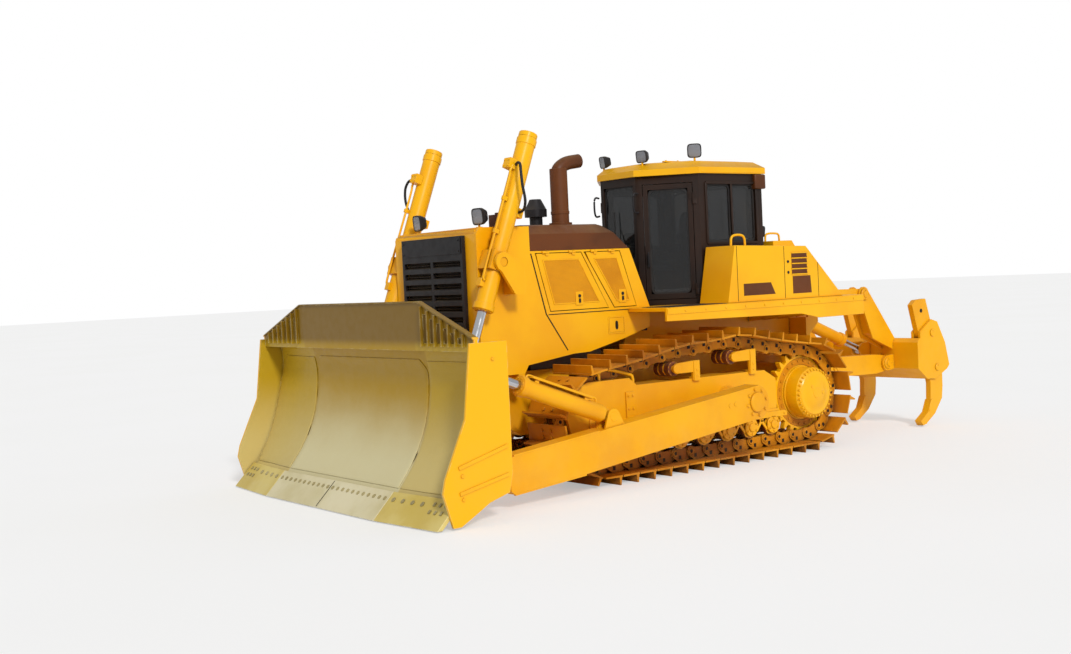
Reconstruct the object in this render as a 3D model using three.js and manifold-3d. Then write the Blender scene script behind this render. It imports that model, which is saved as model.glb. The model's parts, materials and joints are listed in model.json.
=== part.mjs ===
// Crawler bulldozer: tracked tractor, wide earth-moving blade with lift and tilt cylinders, rear ripper.
// Millimetres, +Z up, blade towards -Y, the machine's left side towards +X.
import * as THREE from "three";
import { mergeVertices } from "three/addons/utils/BufferGeometryUtils.js";
import Module from "manifold-3d";

const wasm = await Module();
wasm.setup();

// ---------------------------------------------------------------- driving dimensions
const SEAT_GAP = 0.3; // between bolted or resting faces
const PIN_GAP = 0.5; // between a pin and its bore, and beside an eye
const SEAM_GAP = 0.4; // along slanted seams
const DOOR_GAP = 8; // round a door in its opening

const TRACK_GAUGE = 2140;
const SHOE_WIDTH = 610;
const SHOE_THICKNESS = 18;
const GROUSER_HEIGHT = 80;
const LINK_COUNT = 40;
const LINK_BELOW_PIN = 90; // pin axis to the shoe's inner face
const LINK_ABOVE_PIN = 60; // pin axis to the rail that the rollers run on
const RAIL_NEAR = 45; // rails lie this far from the track's centre plane
const RAIL_FAR = 95;
const SPROCKET_Y = 1407;
const SPROCKET_PIN_RADIUS = 460;
const SPROCKET_TEETH = 25;
const IDLER_Y = -1740;
const IDLER_PIN_RADIUS = 437;
const CARRIER_CENTRES = [
  [-650, 1080],
  [210, 1140],
];
const CARRIER_RADIUS = 76;
const ROLLER_RADIUS = 100;
const ROLLER_COUNT = 7;
const ROLLER_FIRST_Y = -1300;
const ROLLER_SPACING = 350;
const FORK_NEAR = 115; // idler fork plates, from the track's centre plane
const FORK_FAR = 150;
const FRAME_HALF_WIDTH = 140; // of the track frame's beam

const HULL_HALF_WIDTH = 480;
const HULL_FRONT_Y = -2750;
const HULL_REAR_Y = 1960;
const BELLY_Z = 500;
const GUARD_BASE_Z = 1150;
const BODY_HALF_WIDTH = 750;
const GUARD_FRONT_Y = -2780;
const GUARD_TOP_Z = 2620;
const PANEL_SKIN = 30;
const HOOD_SIDE_Z = 2370; // lower edge of the hood top
const HOOD_TOP_Z = 2640;
const DECK_TOP_Z = 1730;
const DECK_HALF_WIDTH = 1350;

const CAB_FRONT_Y = -270;
const CAB_FRONT_HALF = 300;
const CAB_POST_Y = 200; // the widest point, at the door's rear post
const CAB_HALF_WIDTH = 820;
const CAB_REAR_Y = 1200;
const CAB_WALL = 60;
const CAB_ROOF_Z = 3170;

const BLADE_HALF_WIDTH = 2030;
const BLADE_SEAM_X = 1080; // centre cutting edge meets the end bits
const SIDE_PLATE = 30;
const BLADE_TOP_Z = 1520;
const BLADE_TIP_Z = 10;
const GUARD_PEAK_Z = 1930; // upper edge of the spill guard
const GUARD_END_Z = 1600; // and where it meets the side plates
const GUARD_SHOULDER_X = 1150;
const TRUNNION = [100, 680]; // push arm pivot, Y and Z
const TRUNNION_RADIUS = 85;
const ARM_TRACK_GAP = 55; // between the shoes' outer ends and the push arm
const ARM_WIDTH = 220;
const ARM_INNER_X = TRACK_GAUGE / 2 + SHOE_WIDTH / 2 + ARM_TRACK_GAP;
const ARM_OUTER_X = ARM_INNER_X + ARM_WIDTH;
const BLADE_PIN = [-3400, 315];
const BLADE_PIN_RADIUS = 45;
const TILT_X = (ARM_INNER_X + ARM_OUTER_X) / 2;
const TILT_EAR = [-1860, 725];
const TILT_EYE = [-3290, 1250];
const TILT_BARREL_RADIUS = 85;
const TILT_BARREL_LENGTH = 1150;
const TILT_ROD_RADIUS = 45;
const TILT_ROD_LENGTH = 620;
const LIFT_X = 857;
const LIFT_YOKE = [-2640, 2270];
const LIFT_EYE = [-3175, 870];
const LIFT_BARREL_RADIUS = 92;
const LIFT_BARREL_UP = 1350; // yoke to the barrel's top cap
const LIFT_BARREL_DOWN = 500; // yoke to the rod gland
const LIFT_ROD_RADIUS = 45;
const LIFT_ROD_LENGTH = 1560;
const EYE_WIDTH = 2 * Math.max(LIFT_ROD_RADIUS, TILT_ROD_RADIUS) + 10; // rods pass between the cheeks

const RIPPER_ARM_PIVOT = [2500, 835];
const RIPPER_BEAM_PIVOT = [3480, 815];
const RIPPER_TOWER_EYE = [3070, 1705]; // upper link's rear end, on the beam's tower
const RIPPER_ARM_X = 640;
const RIPPER_ARM_WIDTH = 140;
const RIPPER_PIN_RADIUS = 50;
const RIPPER_CYLINDER_X = 300;
const RIPPER_CYLINDER_FOOT = [2430, 1400];
const RIPPER_CYLINDER_EYE = [3480, 985];
const RIPPER_BARREL_RADIUS = 75;
const RIPPER_BARREL_LENGTH = 760;
const RIPPER_ROD_RADIUS = 38;
const BEAM_FRONT_Y = 3600;
const SHANK_X = [1045, 0, -1045];
const SHANK_THICKNESS = 75;
const SHANK_TIP_Z = 15;

// ---------------------------------------------------------------- finishes
const paint = new THREE.MeshStandardMaterial({ color: 0xf5b012, roughness: 0.45, metalness: 0.1 });
const darkPaint = new THREE.MeshStandardMaterial({ color: 0x3a2418, roughness: 0.5, metalness: 0.1 });
const blackPaint = new THREE.MeshStandardMaterial({ color: 0x17171a, roughness: 0.55, metalness: 0.1 });
const wornSteel = new THREE.MeshStandardMaterial({ color: 0xb9b08a, roughness: 0.4, metalness: 0.7 });
const chrome = new THREE.MeshStandardMaterial({ color: 0xd8dade, roughness: 0.12, metalness: 1 });
const castIron = new THREE.MeshStandardMaterial({ color: 0x55504a, roughness: 0.7, metalness: 0.5 });
const upholstery = new THREE.MeshStandardMaterial({ color: 0x2a2b2e, roughness: 0.9, metalness: 0 });

// ---------------------------------------------------------------- solids
// A closed three.js geometry as a solid for joining and cutting.
function solid(geometry) {
  const bare = geometry.index ? geometry.toNonIndexed() : geometry.clone();
  bare.deleteAttribute("normal");
  bare.deleteAttribute("uv");
  const merged = mergeVertices(bare, 1e-3);
  return new wasm.Manifold(
    new wasm.Mesh({
      numProp: 3,
      vertProperties: merged.attributes.position.array,
      triVerts: new Uint32Array(merged.index.array),
    }),
  );
}

function join(...solids) {
  return solids.flat().reduce((whole, next) => whole.add(next));
}

function cut(body, ...tools) {
  return tools.flat().reduce((left, tool) => left.subtract(tool), body);
}

function box([x0, x1], [y0, y1], [z0, z1]) {
  const size = [x1 - x0, y1 - y0, z1 - z0].map(Math.abs);
  const geometry = new THREE.BoxGeometry(...size);
  geometry.translate((x0 + x1) / 2, (y0 + y1) / 2, (z0 + z1) / 2);
  return solid(geometry);
}

// An outline carried along one axis: [y, z] points along "x", [x, z] along "y", [x, y] along "z".
function extrude(axis, outline, [from, to]) {
  const low = Math.min(from, to);
  const depth = Math.abs(to - from);
  const shape = new THREE.Shape(outline.map(([u, v]) => new THREE.Vector2(u, v)));
  const geometry = new THREE.ExtrudeGeometry(shape, { depth, bevelEnabled: false, steps: 1 });
  geometry.translate(0, 0, axis === "y" ? -low - depth : low);
  const x = new THREE.Vector3(1, 0, 0);
  const y = new THREE.Vector3(0, 1, 0);
  const z = new THREE.Vector3(0, 0, 1);
  const frames = { x: [y, z, x], y: [x, z, y.clone().negate()], z: [x, y, z] };
  geometry.applyMatrix4(new THREE.Matrix4().makeBasis(...frames[axis]));
  return solid(geometry);
}

// A faceted cylinder or cone; phase turns it about its own axis, in sides.
function cylinder(radius, from, to, { sides = 12, endRadius = radius, phase = 0 } = {}) {
  const a = new THREE.Vector3(...from);
  const b = new THREE.Vector3(...to);
  const geometry = new THREE.CylinderGeometry(endRadius, radius, a.distanceTo(b), sides);
  geometry.rotateY((phase * 2 * Math.PI) / sides);
  const along = b.clone().sub(a).normalize();
  const turn = new THREE.Quaternion().setFromUnitVectors(new THREE.Vector3(0, 1, 0), along);
  geometry.applyQuaternion(turn);
  const middle = a.add(b).multiplyScalar(0.5);
  geometry.translate(middle.x, middle.y, middle.z);
  return solid(geometry);
}

// A bolt, pin or roller across the machine at [y, z].
function crossPin(radius, [y, z], [x0, x1], sides = 12) {
  return cylinder(radius, [x0, y, z], [x1, y, z], { sides });
}

// The tool for a faceted bore whose flats stay a running gap away from a pin's corners.
function bore(pinRadius, from, to, sides = 12) {
  const radius = (pinRadius + PIN_GAP) / Math.cos(Math.PI / sides);
  return cylinder(radius, from, to, { sides, phase: 0.5 });
}

function crossBore(pinRadius, [y, z], [x0, x1]) {
  return bore(pinRadius, [x0, y, z], [x1, y, z]);
}

// A profile of [radius, x] points turned about the axis parallel to X through [y, z].
function turned(profile, [y, z], sides) {
  const area = profile.reduce((sum, [r, x], i) => {
    const [nextR, nextX] = profile[(i + 1) % profile.length];
    return sum + r * nextX - nextR * x;
  }, 0);
  const ordered = area > 0 ? profile : [...profile].reverse();
  const points = ordered.map(([r, x]) => new THREE.Vector2(r, x));
  if (ordered[0][0] > 0) points.push(points[0].clone());
  const geometry = new THREE.LatheGeometry(points, sides);
  geometry.rotateZ(-Math.PI / 2);
  geometry.translate(0, y, z);
  return solid(geometry);
}

// A skin through rings of [x, y, z] points, closed by the first and last ring.
function loft(rings) {
  const count = rings[0].length;
  const cap = rings[0].map(([, y, z]) => new THREE.Vector2(y, z));
  const faces = THREE.ShapeUtils.triangulateShape(cap, []);
  const triangles = [];
  for (let ring = 0; ring + 1 < rings.length; ring += 1) {
    for (let i = 0; i < count; i += 1) {
      const a = ring * count + i;
      const b = ring * count + ((i + 1) % count);
      triangles.push([a, b, b + count], [a, b + count, a + count]);
    }
  }
  const last = (rings.length - 1) * count;
  const clockwise = THREE.ShapeUtils.isClockWise(cap);
  faces.forEach(([a, b, c]) => {
    triangles.push(clockwise ? [a, b, c] : [a, c, b]);
    triangles.push(clockwise ? [last + a, last + c, last + b] : [last + a, last + b, last + c]);
  });
  const ordered = triangles.flatMap(([a, b, c]) => (clockwise ? [a, c, b] : [a, b, c]));
  const geometry = new THREE.BufferGeometry();
  geometry.setAttribute("position", new THREE.Float32BufferAttribute(rings.flat(2), 3));
  geometry.setIndex(ordered);
  return solid(geometry);
}

// Points of an arc, angles in degrees.
function arc([u, v], radius, from, to, steps) {
  return Array.from({ length: steps + 1 }, (_, i) => {
    const angle = THREE.MathUtils.degToRad(from + ((to - from) * i) / steps);
    return [u + radius * Math.cos(angle), v + radius * Math.sin(angle)];
  });
}

// A solid's surface as a three.js geometry.
function surface(made) {
  const { vertProperties, triVerts } = made.getMesh();
  const geometry = new THREE.BufferGeometry();
  geometry.setAttribute("position", new THREE.BufferAttribute(vertProperties, 3));
  geometry.setIndex(new THREE.BufferAttribute(triVerts, 1));
  return geometry;
}

function named(name, made, finish) {
  const geometry = surface(made).toNonIndexed();
  geometry.computeVertexNormals();
  const mesh = new THREE.Mesh(geometry, finish);
  mesh.name = name;
  return mesh;
}

const SIDES = [
  ["left", 1],
  ["right", -1],
];

// ---------------------------------------------------------------- tracks
const TRACK_X = TRACK_GAUGE / 2;
const TIP_BELOW_PIN = LINK_BELOW_PIN + SHOE_THICKNESS + GROUSER_HEIGHT;
const SPROCKET = [SPROCKET_Y, SPROCKET_PIN_RADIUS + TIP_BELOW_PIN];
const IDLER = [IDLER_Y, IDLER_PIN_RADIUS + TIP_BELOW_PIN];
const CHAIN_SAG = 18;

// The point where a line from an outside point touches a circle, on the circle's upper side.
function upperTangent([cy, cz], radius, [py, pz], side) {
  const distance = Math.hypot(py - cy, pz - cz);
  const towards = Math.atan2(pz - cz, py - cy);
  const angle = towards + side * Math.acos(radius / distance);
  return [cy + radius * Math.cos(angle), cz + radius * Math.sin(angle), THREE.MathUtils.radToDeg(angle)];
}

function sagging([y0, z0], [y1, z1], steps) {
  return Array.from({ length: steps }, (_, i) => {
    const t = (i + 1) / steps;
    return [y0 + (y1 - y0) * t, z0 + (z1 - z0) * t - CHAIN_SAG * 4 * t * (1 - t)];
  });
}

// The closed line of pin centres: along the ground, up round the sprocket, back over the carriers.
function pinLine() {
  const [front, rear] = CARRIER_CENTRES.map(([y, z]) => [y, z + 100 + LINK_ABOVE_PIN]);
  const [sy, sz, sAngle] = upperTangent(SPROCKET, SPROCKET_PIN_RADIUS, rear, -1);
  const [iy, iz, iAngle] = upperTangent(IDLER, IDLER_PIN_RADIUS, front, 1);
  return [
    [IDLER[0], TIP_BELOW_PIN],
    ...arc(SPROCKET, SPROCKET_PIN_RADIUS, -90, sAngle, 60),
    ...sagging([sy, sz], rear, 12),
    ...sagging(rear, front, 12),
    ...sagging(front, [iy, iz], 12),
    ...arc(IDLER, IDLER_PIN_RADIUS, iAngle, 270, 60).slice(1, -1),
  ];
}

// Pin centres at equal steps along the pin line, the first one on the ground below the sprocket.
function pinCentres() {
  const line = pinLine();
  const points = [...line.slice(1), line[0], line[1]];
  const lengths = points.slice(1).map(([y, z], i) => Math.hypot(y - points[i][0], z - points[i][1]));
  const total = lengths.reduce((sum, part) => sum + part, 0);
  const centres = [];
  let index = 0;
  let passed = 0;
  for (let link = 0; link < LINK_COUNT; link += 1) {
    const wanted = (total * link) / LINK_COUNT;
    while (passed + lengths[index] < wanted) {
      passed += lengths[index];
      index += 1;
    }
    const t = (wanted - passed) / lengths[index];
    const [y0, z0] = points[index];
    const [y1, z1] = points[index + 1];
    centres.push([y0 + (y1 - y0) * t, z0 + (z1 - z0) * t]);
  }
  return centres;
}

// The pin polygon moved outwards by a distance, with mitred corners.
function offsetChain(centres, distance) {
  return centres.map(([y, z], i) => {
    const [ay, az] = centres[(i + centres.length - 1) % centres.length];
    const [by, bz] = centres[(i + 1) % centres.length];
    const before = new THREE.Vector2(z - az, ay - y).normalize();
    const after = new THREE.Vector2(bz - z, y - by).normalize();
    const mitre = before.clone().add(after).normalize();
    const reach = distance / mitre.dot(after);
    return [y + mitre.x * reach, z + mitre.y * reach];
  });
}

// The outside of the chain: each shoe is a flat plate with one grouser bar near its rear edge.
function shoeOutline(centres) {
  const shoeTop = LINK_BELOW_PIN + SHOE_THICKNESS;
  return centres.flatMap(([y, z], i) => {
    const [by, bz] = centres[(i + 1) % centres.length];
    const pitch = Math.hypot(by - y, bz - z);
    const along = [(by - y) / pitch, (bz - z) / pitch];
    const out = [along[1], -along[0]];
    const grouserFoot = pitch - 46;
    const grouserTip = pitch - 40;
    const profile = [
      [3, shoeTop],
      [grouserFoot, shoeTop],
      [grouserTip, shoeTop + GROUSER_HEIGHT],
      [grouserTip + 16, shoeTop + GROUSER_HEIGHT],
      [grouserTip + 24, shoeTop],
      [pitch - 6, shoeTop],
    ];
    return profile.map(([u, v]) => [y + along[0] * u + out[0] * v, z + along[1] * u + out[1] * v]);
  });
}

function track(side) {
  const centres = pinCentres();
  const half = SHOE_WIDTH / 2;
  const across = (near, far) => [side * (TRACK_X + near), side * (TRACK_X + far)];
  const shoes = extrude("x", shoeOutline(centres), across(-half, half));
  const inside = extrude("x", offsetChain(centres, LINK_BELOW_PIN), across(-half - 1, half + 1));
  const rails = [
    [-RAIL_FAR, -RAIL_NEAR],
    [RAIL_NEAR, RAIL_FAR],
  ].map(([near, far]) =>
    cut(
      extrude("x", offsetChain(centres, LINK_BELOW_PIN + 1), across(near, far)),
      extrude("x", offsetChain(centres, -LINK_ABOVE_PIN), across(near - 1, far + 1)),
    ),
  );
  return join(cut(shoes, inside), rails);
}

function idler(side) {
  const linkLength = Math.PI * (SPROCKET_PIN_RADIUS + IDLER_PIN_RADIUS) + 2 * (SPROCKET_Y - IDLER_Y);
  const halfTurn = linkLength / LINK_COUNT / 2 / IDLER_PIN_RADIUS + 0.004;
  const tread = IDLER_PIN_RADIUS * Math.cos(halfTurn) - LINK_ABOVE_PIN - SEAT_GAP;
  const flange = tread + 45;
  const x = (offset) => side * (TRACK_X + offset);
  const profile = [
    [0, x(-60)],
    [150, x(-60)],
    [150, x(-30)],
    [tread - 50, x(-30)],
    [tread - 50, x(-RAIL_FAR)],
    [tread, x(-RAIL_FAR)],
    [tread, x(-36)],
    [flange, x(-34)],
    [flange, x(34)],
    [tread, x(36)],
    [tread, x(RAIL_FAR)],
    [tread - 50, x(RAIL_FAR)],
    [tread - 50, x(30)],
    [150, x(30)],
    [150, x(60)],
    [0, x(60)],
  ];
  const shaft = crossPin(70, IDLER, [x(-FORK_NEAR + SEAT_GAP), x(FORK_NEAR - SEAT_GAP)]);
  return join(turned(profile, IDLER, 26), shaft);
}

function sprocket(side) {
  const [py, pz] = pinCentres()[3];
  const phase = THREE.MathUtils.radToDeg(Math.atan2(pz - SPROCKET[1], py - SPROCKET[0]));
  const step = 360 / SPROCKET_TEETH;
  const valley = SPROCKET_PIN_RADIUS - 40;
  const tip = SPROCKET_PIN_RADIUS + 32;
  const outline = Array.from({ length: SPROCKET_TEETH }, (_, tooth) => {
    const start = phase + tooth * step;
    return [
      ...arc(SPROCKET, valley, start - step * 0.2, start + step * 0.2, 1),
      ...arc(SPROCKET, tip, start + step * 0.42, start + step * 0.58, 1),
    ];
  }).flat();
  const width = [side * (TRACK_X - 34), side * (TRACK_X + 34)];
  return extrude("x", outline, width);
}

function finalDrive(side) {
  const profile = [
    [0, side * (HULL_HALF_WIDTH + SEAT_GAP)],
    [330, side * (HULL_HALF_WIDTH + SEAT_GAP)],
    [330, side * (TRACK_X - 350)],
    [270, side * (TRACK_X - 290)],
    [270, side * (TRACK_X - 110)],
    [300, side * (TRACK_X - 110)],
    [300, side * (TRACK_X + 60)],
    [290, side * (TRACK_X + 60)],
    [290, side * (TRACK_X + 220)],
    [240, side * (TRACK_X + 260)],
    [0, side * (TRACK_X + 260)],
  ];
  return turned(profile, SPROCKET, 26);
}

// Beam with its roller carriers, rollers, carrier rollers, idler fork and push-arm trunnion.
function trackFrame(side) {
  const x = (offset) => side * (TRACK_X + offset);
  const beam = extrude(
    "x",
    [
      [-1290, 480],
      [880, 480],
      [880, 860],
      [700, 960],
      [-1290, 960],
    ],
    [x(-FRAME_HALF_WIDTH), x(FRAME_HALF_WIDTH)],
  );
  const fork = [
    [-1200, 480],
    [-1200, 960],
    [-1300, 1040],
    [-1850, 1040],
    [-2060, 930],
    [-2125, 700],
    [-2060, 480],
  ];
  const forks = [
    [FORK_NEAR, FORK_FAR],
    [-FORK_FAR, -FORK_NEAR],
  ].map(([near, far]) => extrude("x", fork, [x(near), x(far)]));
  return join(
    beam,
    forks,
    rollers(x),
    carrierRollers(x),
    crossPin(TRUNNION_RADIUS, TRUNNION, [x(120), side * (ARM_OUTER_X - 90)]),
    crossPin(150, TRUNNION, [x(120), x(240)]),
  );
}

function rollers(x) {
  const z = TIP_BELOW_PIN + LINK_ABOVE_PIN + SEAT_GAP + ROLLER_RADIUS;
  const centres = Array.from({ length: ROLLER_COUNT }, (_, i) => ROLLER_FIRST_Y + i * ROLLER_SPACING);
  const profile = [
    [0, x(-129)],
    [ROLLER_RADIUS + 18, x(-129)],
    [ROLLER_RADIUS + 18, x(-101)],
    [ROLLER_RADIUS, x(-101)],
    [ROLLER_RADIUS, x(101)],
    [ROLLER_RADIUS + 18, x(101)],
    [ROLLER_RADIUS + 18, x(129)],
    [0, x(129)],
  ];
  return centres.map((y) => {
    const hanger = [
      [y - 100, 520],
      [y - 65, 290],
      [y + 65, 290],
      [y + 100, 520],
    ];
    return join(
      turned(profile, [y, z], 10),
      extrude("x", hanger, [x(128), x(150)]),
      extrude("x", hanger, [x(-150), x(-128)]),
    );
  });
}

function carrierRollers(x) {
  return CARRIER_CENTRES.map(([y, z]) => {
    const bracket = [
      [y + 240, 940],
      [y + 340, 940],
      [y + 340, z + 70],
      [y + 240, z + 70],
      [y, z + 55],
      [y - 40, z],
      [y, z - 50],
      [y + 240, z - 50],
    ];
    return join(
      crossPin(CARRIER_RADIUS, [y, z], [x(-110), x(120)], 10),
      crossPin(40, [y, z], [x(110), x(170)], 8),
      extrude("x", bracket, [x(135), x(165)]),
      box([x(100), x(165)], [y + 240, y + 340], [940, 975]),
    );
  });
}

// ---------------------------------------------------------------- hull and body
function mainFrame() {
  const cheek = [
    [HULL_FRONT_Y, GUARD_BASE_Z],
    [HULL_FRONT_Y, 860],
    [-2150, BELLY_Z],
    [1800, BELLY_Z],
    [HULL_REAR_Y, 620],
    [HULL_REAR_Y, 1480],
    [-640, 1480],
    [-800, GUARD_BASE_Z],
  ];
  const cheeks = SIDES.map(([, side]) =>
    extrude("x", cheek, [side * (HULL_HALF_WIDTH - 50), side * HULL_HALF_WIDTH]),
  );
  const inner = [-HULL_HALF_WIDTH + 10, HULL_HALF_WIDTH - 10];
  const belly = extrude(
    "x",
    [
      [HULL_FRONT_Y, 860],
      [-2150, BELLY_Z],
      [1800, BELLY_Z],
      [1800, BELLY_Z + 40],
      [-2140, BELLY_Z + 40],
      [HULL_FRONT_Y, 905],
    ],
    inner,
  );
  const frameFace = TRACK_X - FRAME_HALF_WIDTH - SEAT_GAP;
  const equaliser = box([-frameFace, frameFace], [-1060, -940], [700, 840]);
  const pivotShaft = crossPin(90, [500, 760], [-frameFace, frameFace]);
  const gearCase = box(inner, [700, HULL_REAR_Y], [BELLY_Z + 100, 1480]);
  const gearCaseFoot = box(inner, [700, 1800], [BELLY_Z, BELLY_Z + 110]);
  return join(
    cheeks,
    belly,
    equaliser,
    pivotShaft,
    gearCase,
    gearCaseFoot,
    box(inner, [HULL_FRONT_Y, HULL_FRONT_Y + 60], [860, GUARD_BASE_Z]),
    box(inner, [-640, -580], [1000, 1480]),
    SIDES.map(([, side]) => deckRails(side)),
  );
}

// Rails that carry the deck, and the front outriggers under the radiator guard.
function deckRails(side) {
  return join(
    box([side * 430, side * HULL_HALF_WIDTH], [-515, HULL_REAR_Y], [1470, DECK_TOP_Z - 40 - SEAT_GAP]),
    box([side * 440, side * BODY_HALF_WIDTH], [-2740, -2660], [1020, GUARD_BASE_Z]),
    box([side * 440, side * BODY_HALF_WIDTH], [-2340, -2260], [1020, GUARD_BASE_Z]),
  );
}

const GUARD_REAR = [
  [-2130, HOOD_SIDE_Z],
  [-1950, 1740],
  [-1620, 1305],
];

function radiatorGuard() {
  const base = GUARD_BASE_Z + SEAT_GAP;
  const wall = [
    [GUARD_FRONT_Y, base],
    [GUARD_FRONT_Y, GUARD_TOP_Z - 60],
    [GUARD_FRONT_Y + 50, GUARD_TOP_Z],
    [-2130, GUARD_TOP_Z],
    ...GUARD_REAR,
    [-2210, 1230],
    [-2260, base],
  ];
  const inside = BODY_HALF_WIDTH - 38;
  const walls = SIDES.map(([, side]) => extrude("x", wall, [side * inside, side * BODY_HALF_WIDTH]));
  const front = cut(
    box([-inside - 1, inside + 1], [GUARD_FRONT_Y, GUARD_FRONT_Y + 40], [base, GUARD_TOP_Z - 60]),
    box([-530, 530], [GUARD_FRONT_Y - 1, GUARD_FRONT_Y + 41], [1320, 2440]),
  );
  return join(
    walls,
    front,
    box([-inside - 1, inside + 1], [GUARD_FRONT_Y + 45, -2130], [GUARD_TOP_Z - 35, GUARD_TOP_Z]),
    box(
      [-inside - 1, inside + 1],
      [GUARD_FRONT_Y + 10, GUARD_FRONT_Y + 80],
      [GUARD_TOP_Z - 75, GUARD_TOP_Z - 20],
    ),
    box([-inside - 1, inside + 1], [GUARD_FRONT_Y, -2300], [base, base + 40]),
    SIDES.map(([, side]) => liftYoke(side)),
  );
}

// A plate outboard of the lift cylinder, carried by a web behind it; its bore takes the trunnion.
function liftYoke(side) {
  const [y, z] = LIFT_YOKE;
  const near = LIFT_X + LIFT_BARREL_RADIUS + 18;
  const cheek = [
    [y + 240, z - 320],
    [y + 240, z - 20],
    ...arc(LIFT_YOKE, 95, 45, 250, 7),
    [y + 120, z - 320],
  ];
  const bores = crossBore(45, LIFT_YOKE, [side * (BODY_HALF_WIDTH - 60), side * 1100]);
  const plates = join(
    extrude("x", cheek, [side * near, side * (near + 40)]),
    box([side * (BODY_HALF_WIDTH - 20), side * (near + 40)], [y + 160, y + 240], [z - 320, z - 50]),
  );
  return cut(plates, bores);
}

function grille() {
  const frame = box([-560, 560], [GUARD_FRONT_Y - 42, GUARD_FRONT_Y - SEAT_GAP], [1290, 2550]);
  const slots = Array.from({ length: 9 }, (_, i) => 1350 + i * 112);
  return cut(
    frame,
    slots.flatMap((z) => [
      box([-520, -20], [GUARD_FRONT_Y - 50, GUARD_FRONT_Y + 10], [z, z + 60]),
      box([20, 520], [GUARD_FRONT_Y - 50, GUARD_FRONT_Y + 10], [z, z + 60]),
    ]),
  );
}

const HOOD_FRONT_Y = -2130 + SEAT_GAP;

function hoodSection(inset) {
  const side = BODY_HALF_WIDTH - inset;
  return [
    [-side, HOOD_SIDE_Z + SEAT_GAP],
    [-side, 2540 - inset],
    [-side + 90, HOOD_TOP_Z - 18 - inset],
    [-side + 150, HOOD_TOP_Z - inset],
    [side - 150, HOOD_TOP_Z - inset],
    [side - 90, HOOD_TOP_Z - 18 - inset],
    [side, 2540 - inset],
    [side, HOOD_SIDE_Z + SEAT_GAP],
  ];
}

function hoodTop() {
  const skin = extrude("y", hoodSection(0), [HOOD_FRONT_Y, -780]);
  const hollow = extrude("y", hoodSection(25).map(([x, z]) => [x, z > 2400 ? z : z - 5]), [-2200, -700]);
  const rearSlope = extrude(
    "x",
    [
      [-800, HOOD_SIDE_Z - 5],
      [-1135, HOOD_TOP_Z + 5],
      [-700, HOOD_TOP_Z + 5],
      [-700, HOOD_SIDE_Z - 5],
    ],
    [-800, 800],
  );
  return cut(skin, hollow, rearSlope);
}

// Slanted plate that closes the engine bay in front of the cab, shaped to the hood's inside.
function bulkhead() {
  const foot = 1480 + SEAT_GAP;
  const plate = [
    [-560, foot],
    [-560, 1735],
    [-840, 2370],
    [-1150, 2630],
    [-1185, 2630],
    [-880, 2350],
    [-600, 1735],
    [-600, foot],
  ];
  const outline = hoodSection(PANEL_SKIN + 3).map(([x, z]) => [x, z > 2400 ? z : foot - 10]);
  const bay = extrude("y", outline, [-1300, -400]);
  return extrude("x", plate, [-BODY_HALF_WIDTH, BODY_HALF_WIDTH]).intersect(bay);
}

const SIDE_PANEL = [
  ...GUARD_REAR.map(([y, z]) => [y + 0.5, z]),
  [-1410, 1310],
  [-920, 1420],
  [-560, 1520],
  [-545, 1735],
  [-805, HOOD_SIDE_Z],
];
const ENGINE_DOORS = {
  front: [
    [-2070, 2350],
    [-1905, 1750],
    [-1120, 1750],
    [-1465, 2350],
  ],
  rear: [
    [-1435, 2350],
    [-1050, 1750],
    [-730, 1750],
    [-935, 2350],
  ],
};
const DOOR_HINGE_Z = 2350;
const DOOR_HINGE_OUT = 12; // hinge axis, outside the panel's face
const DOOR_SWING_DROP = 36; // how far the leaf's upper edge sinks as it swings out
const DOOR_CORNER = 110; // height of the leaf's cut front corner

// A door's outline inside its opening; the front corner is cut back to clear the slanted edge.
function shrunk(outline, gap) {
  const [topFront, lowFront, lowRear, topRear] = outline;
  const lean = (lowFront[0] - topFront[0]) / (topFront[1] - lowFront[1]);
  return [
    [topFront[0] + gap + lean * DOOR_SWING_DROP, topFront[1] - gap],
    [topFront[0] + gap + lean * (DOOR_CORNER + 8), topFront[1] - DOOR_CORNER],
    [lowFront[0] + gap, lowFront[1] + gap],
    [lowRear[0] - gap, lowRear[1] + gap],
    [topRear[0] - gap, topRear[1] - gap],
  ];
}

function hingeStations(outline) {
  const [topFront, , , topRear] = outline;
  return [topFront[0] + 90, topRear[0] - 170];
}

// One knuckle and its tab, from y to y + 40, the tab between two heights.
function hingeKnuckle(side, y, tab) {
  const x = side * (BODY_HALF_WIDTH + DOOR_HINGE_OUT);
  return join(
    cylinder(9, [x, y, DOOR_HINGE_Z], [x, y + 40, DOOR_HINGE_Z], { sides: 8 }),
    box([side * (BODY_HALF_WIDTH - 5), x], [y, y + 40], tab),
  );
}

function sidePanel(side) {
  const skin = [side * (BODY_HALF_WIDTH - PANEL_SKIN), side * BODY_HALF_WIDTH];
  const plate = extrude("x", SIDE_PANEL, skin);
  const through = [side * (BODY_HALF_WIDTH - 60), side * (BODY_HALF_WIDTH + 30)];
  const openings = Object.values(ENGINE_DOORS).map((outline) => extrude("x", outline, through));
  const hinges = Object.values(ENGINE_DOORS).flatMap((outline) =>
    hingeStations(outline).map((y) => hingeKnuckle(side, y, [DOOR_HINGE_Z, DOOR_HINGE_Z + 17])),
  );
  return join(cut(plate, openings), hinges);
}

function engineDoor(side, outline) {
  const skin = [side * (BODY_HALF_WIDTH - PANEL_SKIN), side * BODY_HALF_WIDTH];
  const leaf = extrude("x", shrunk(outline, DOOR_GAP), skin);
  const hinges = hingeStations(outline).map((y) =>
    hingeKnuckle(side, y + 40 + PIN_GAP, [DOOR_HINGE_Z - 30, DOOR_HINGE_Z - DOOR_GAP + 3]),
  );
  return join(leaf, hinges);
}

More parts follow.
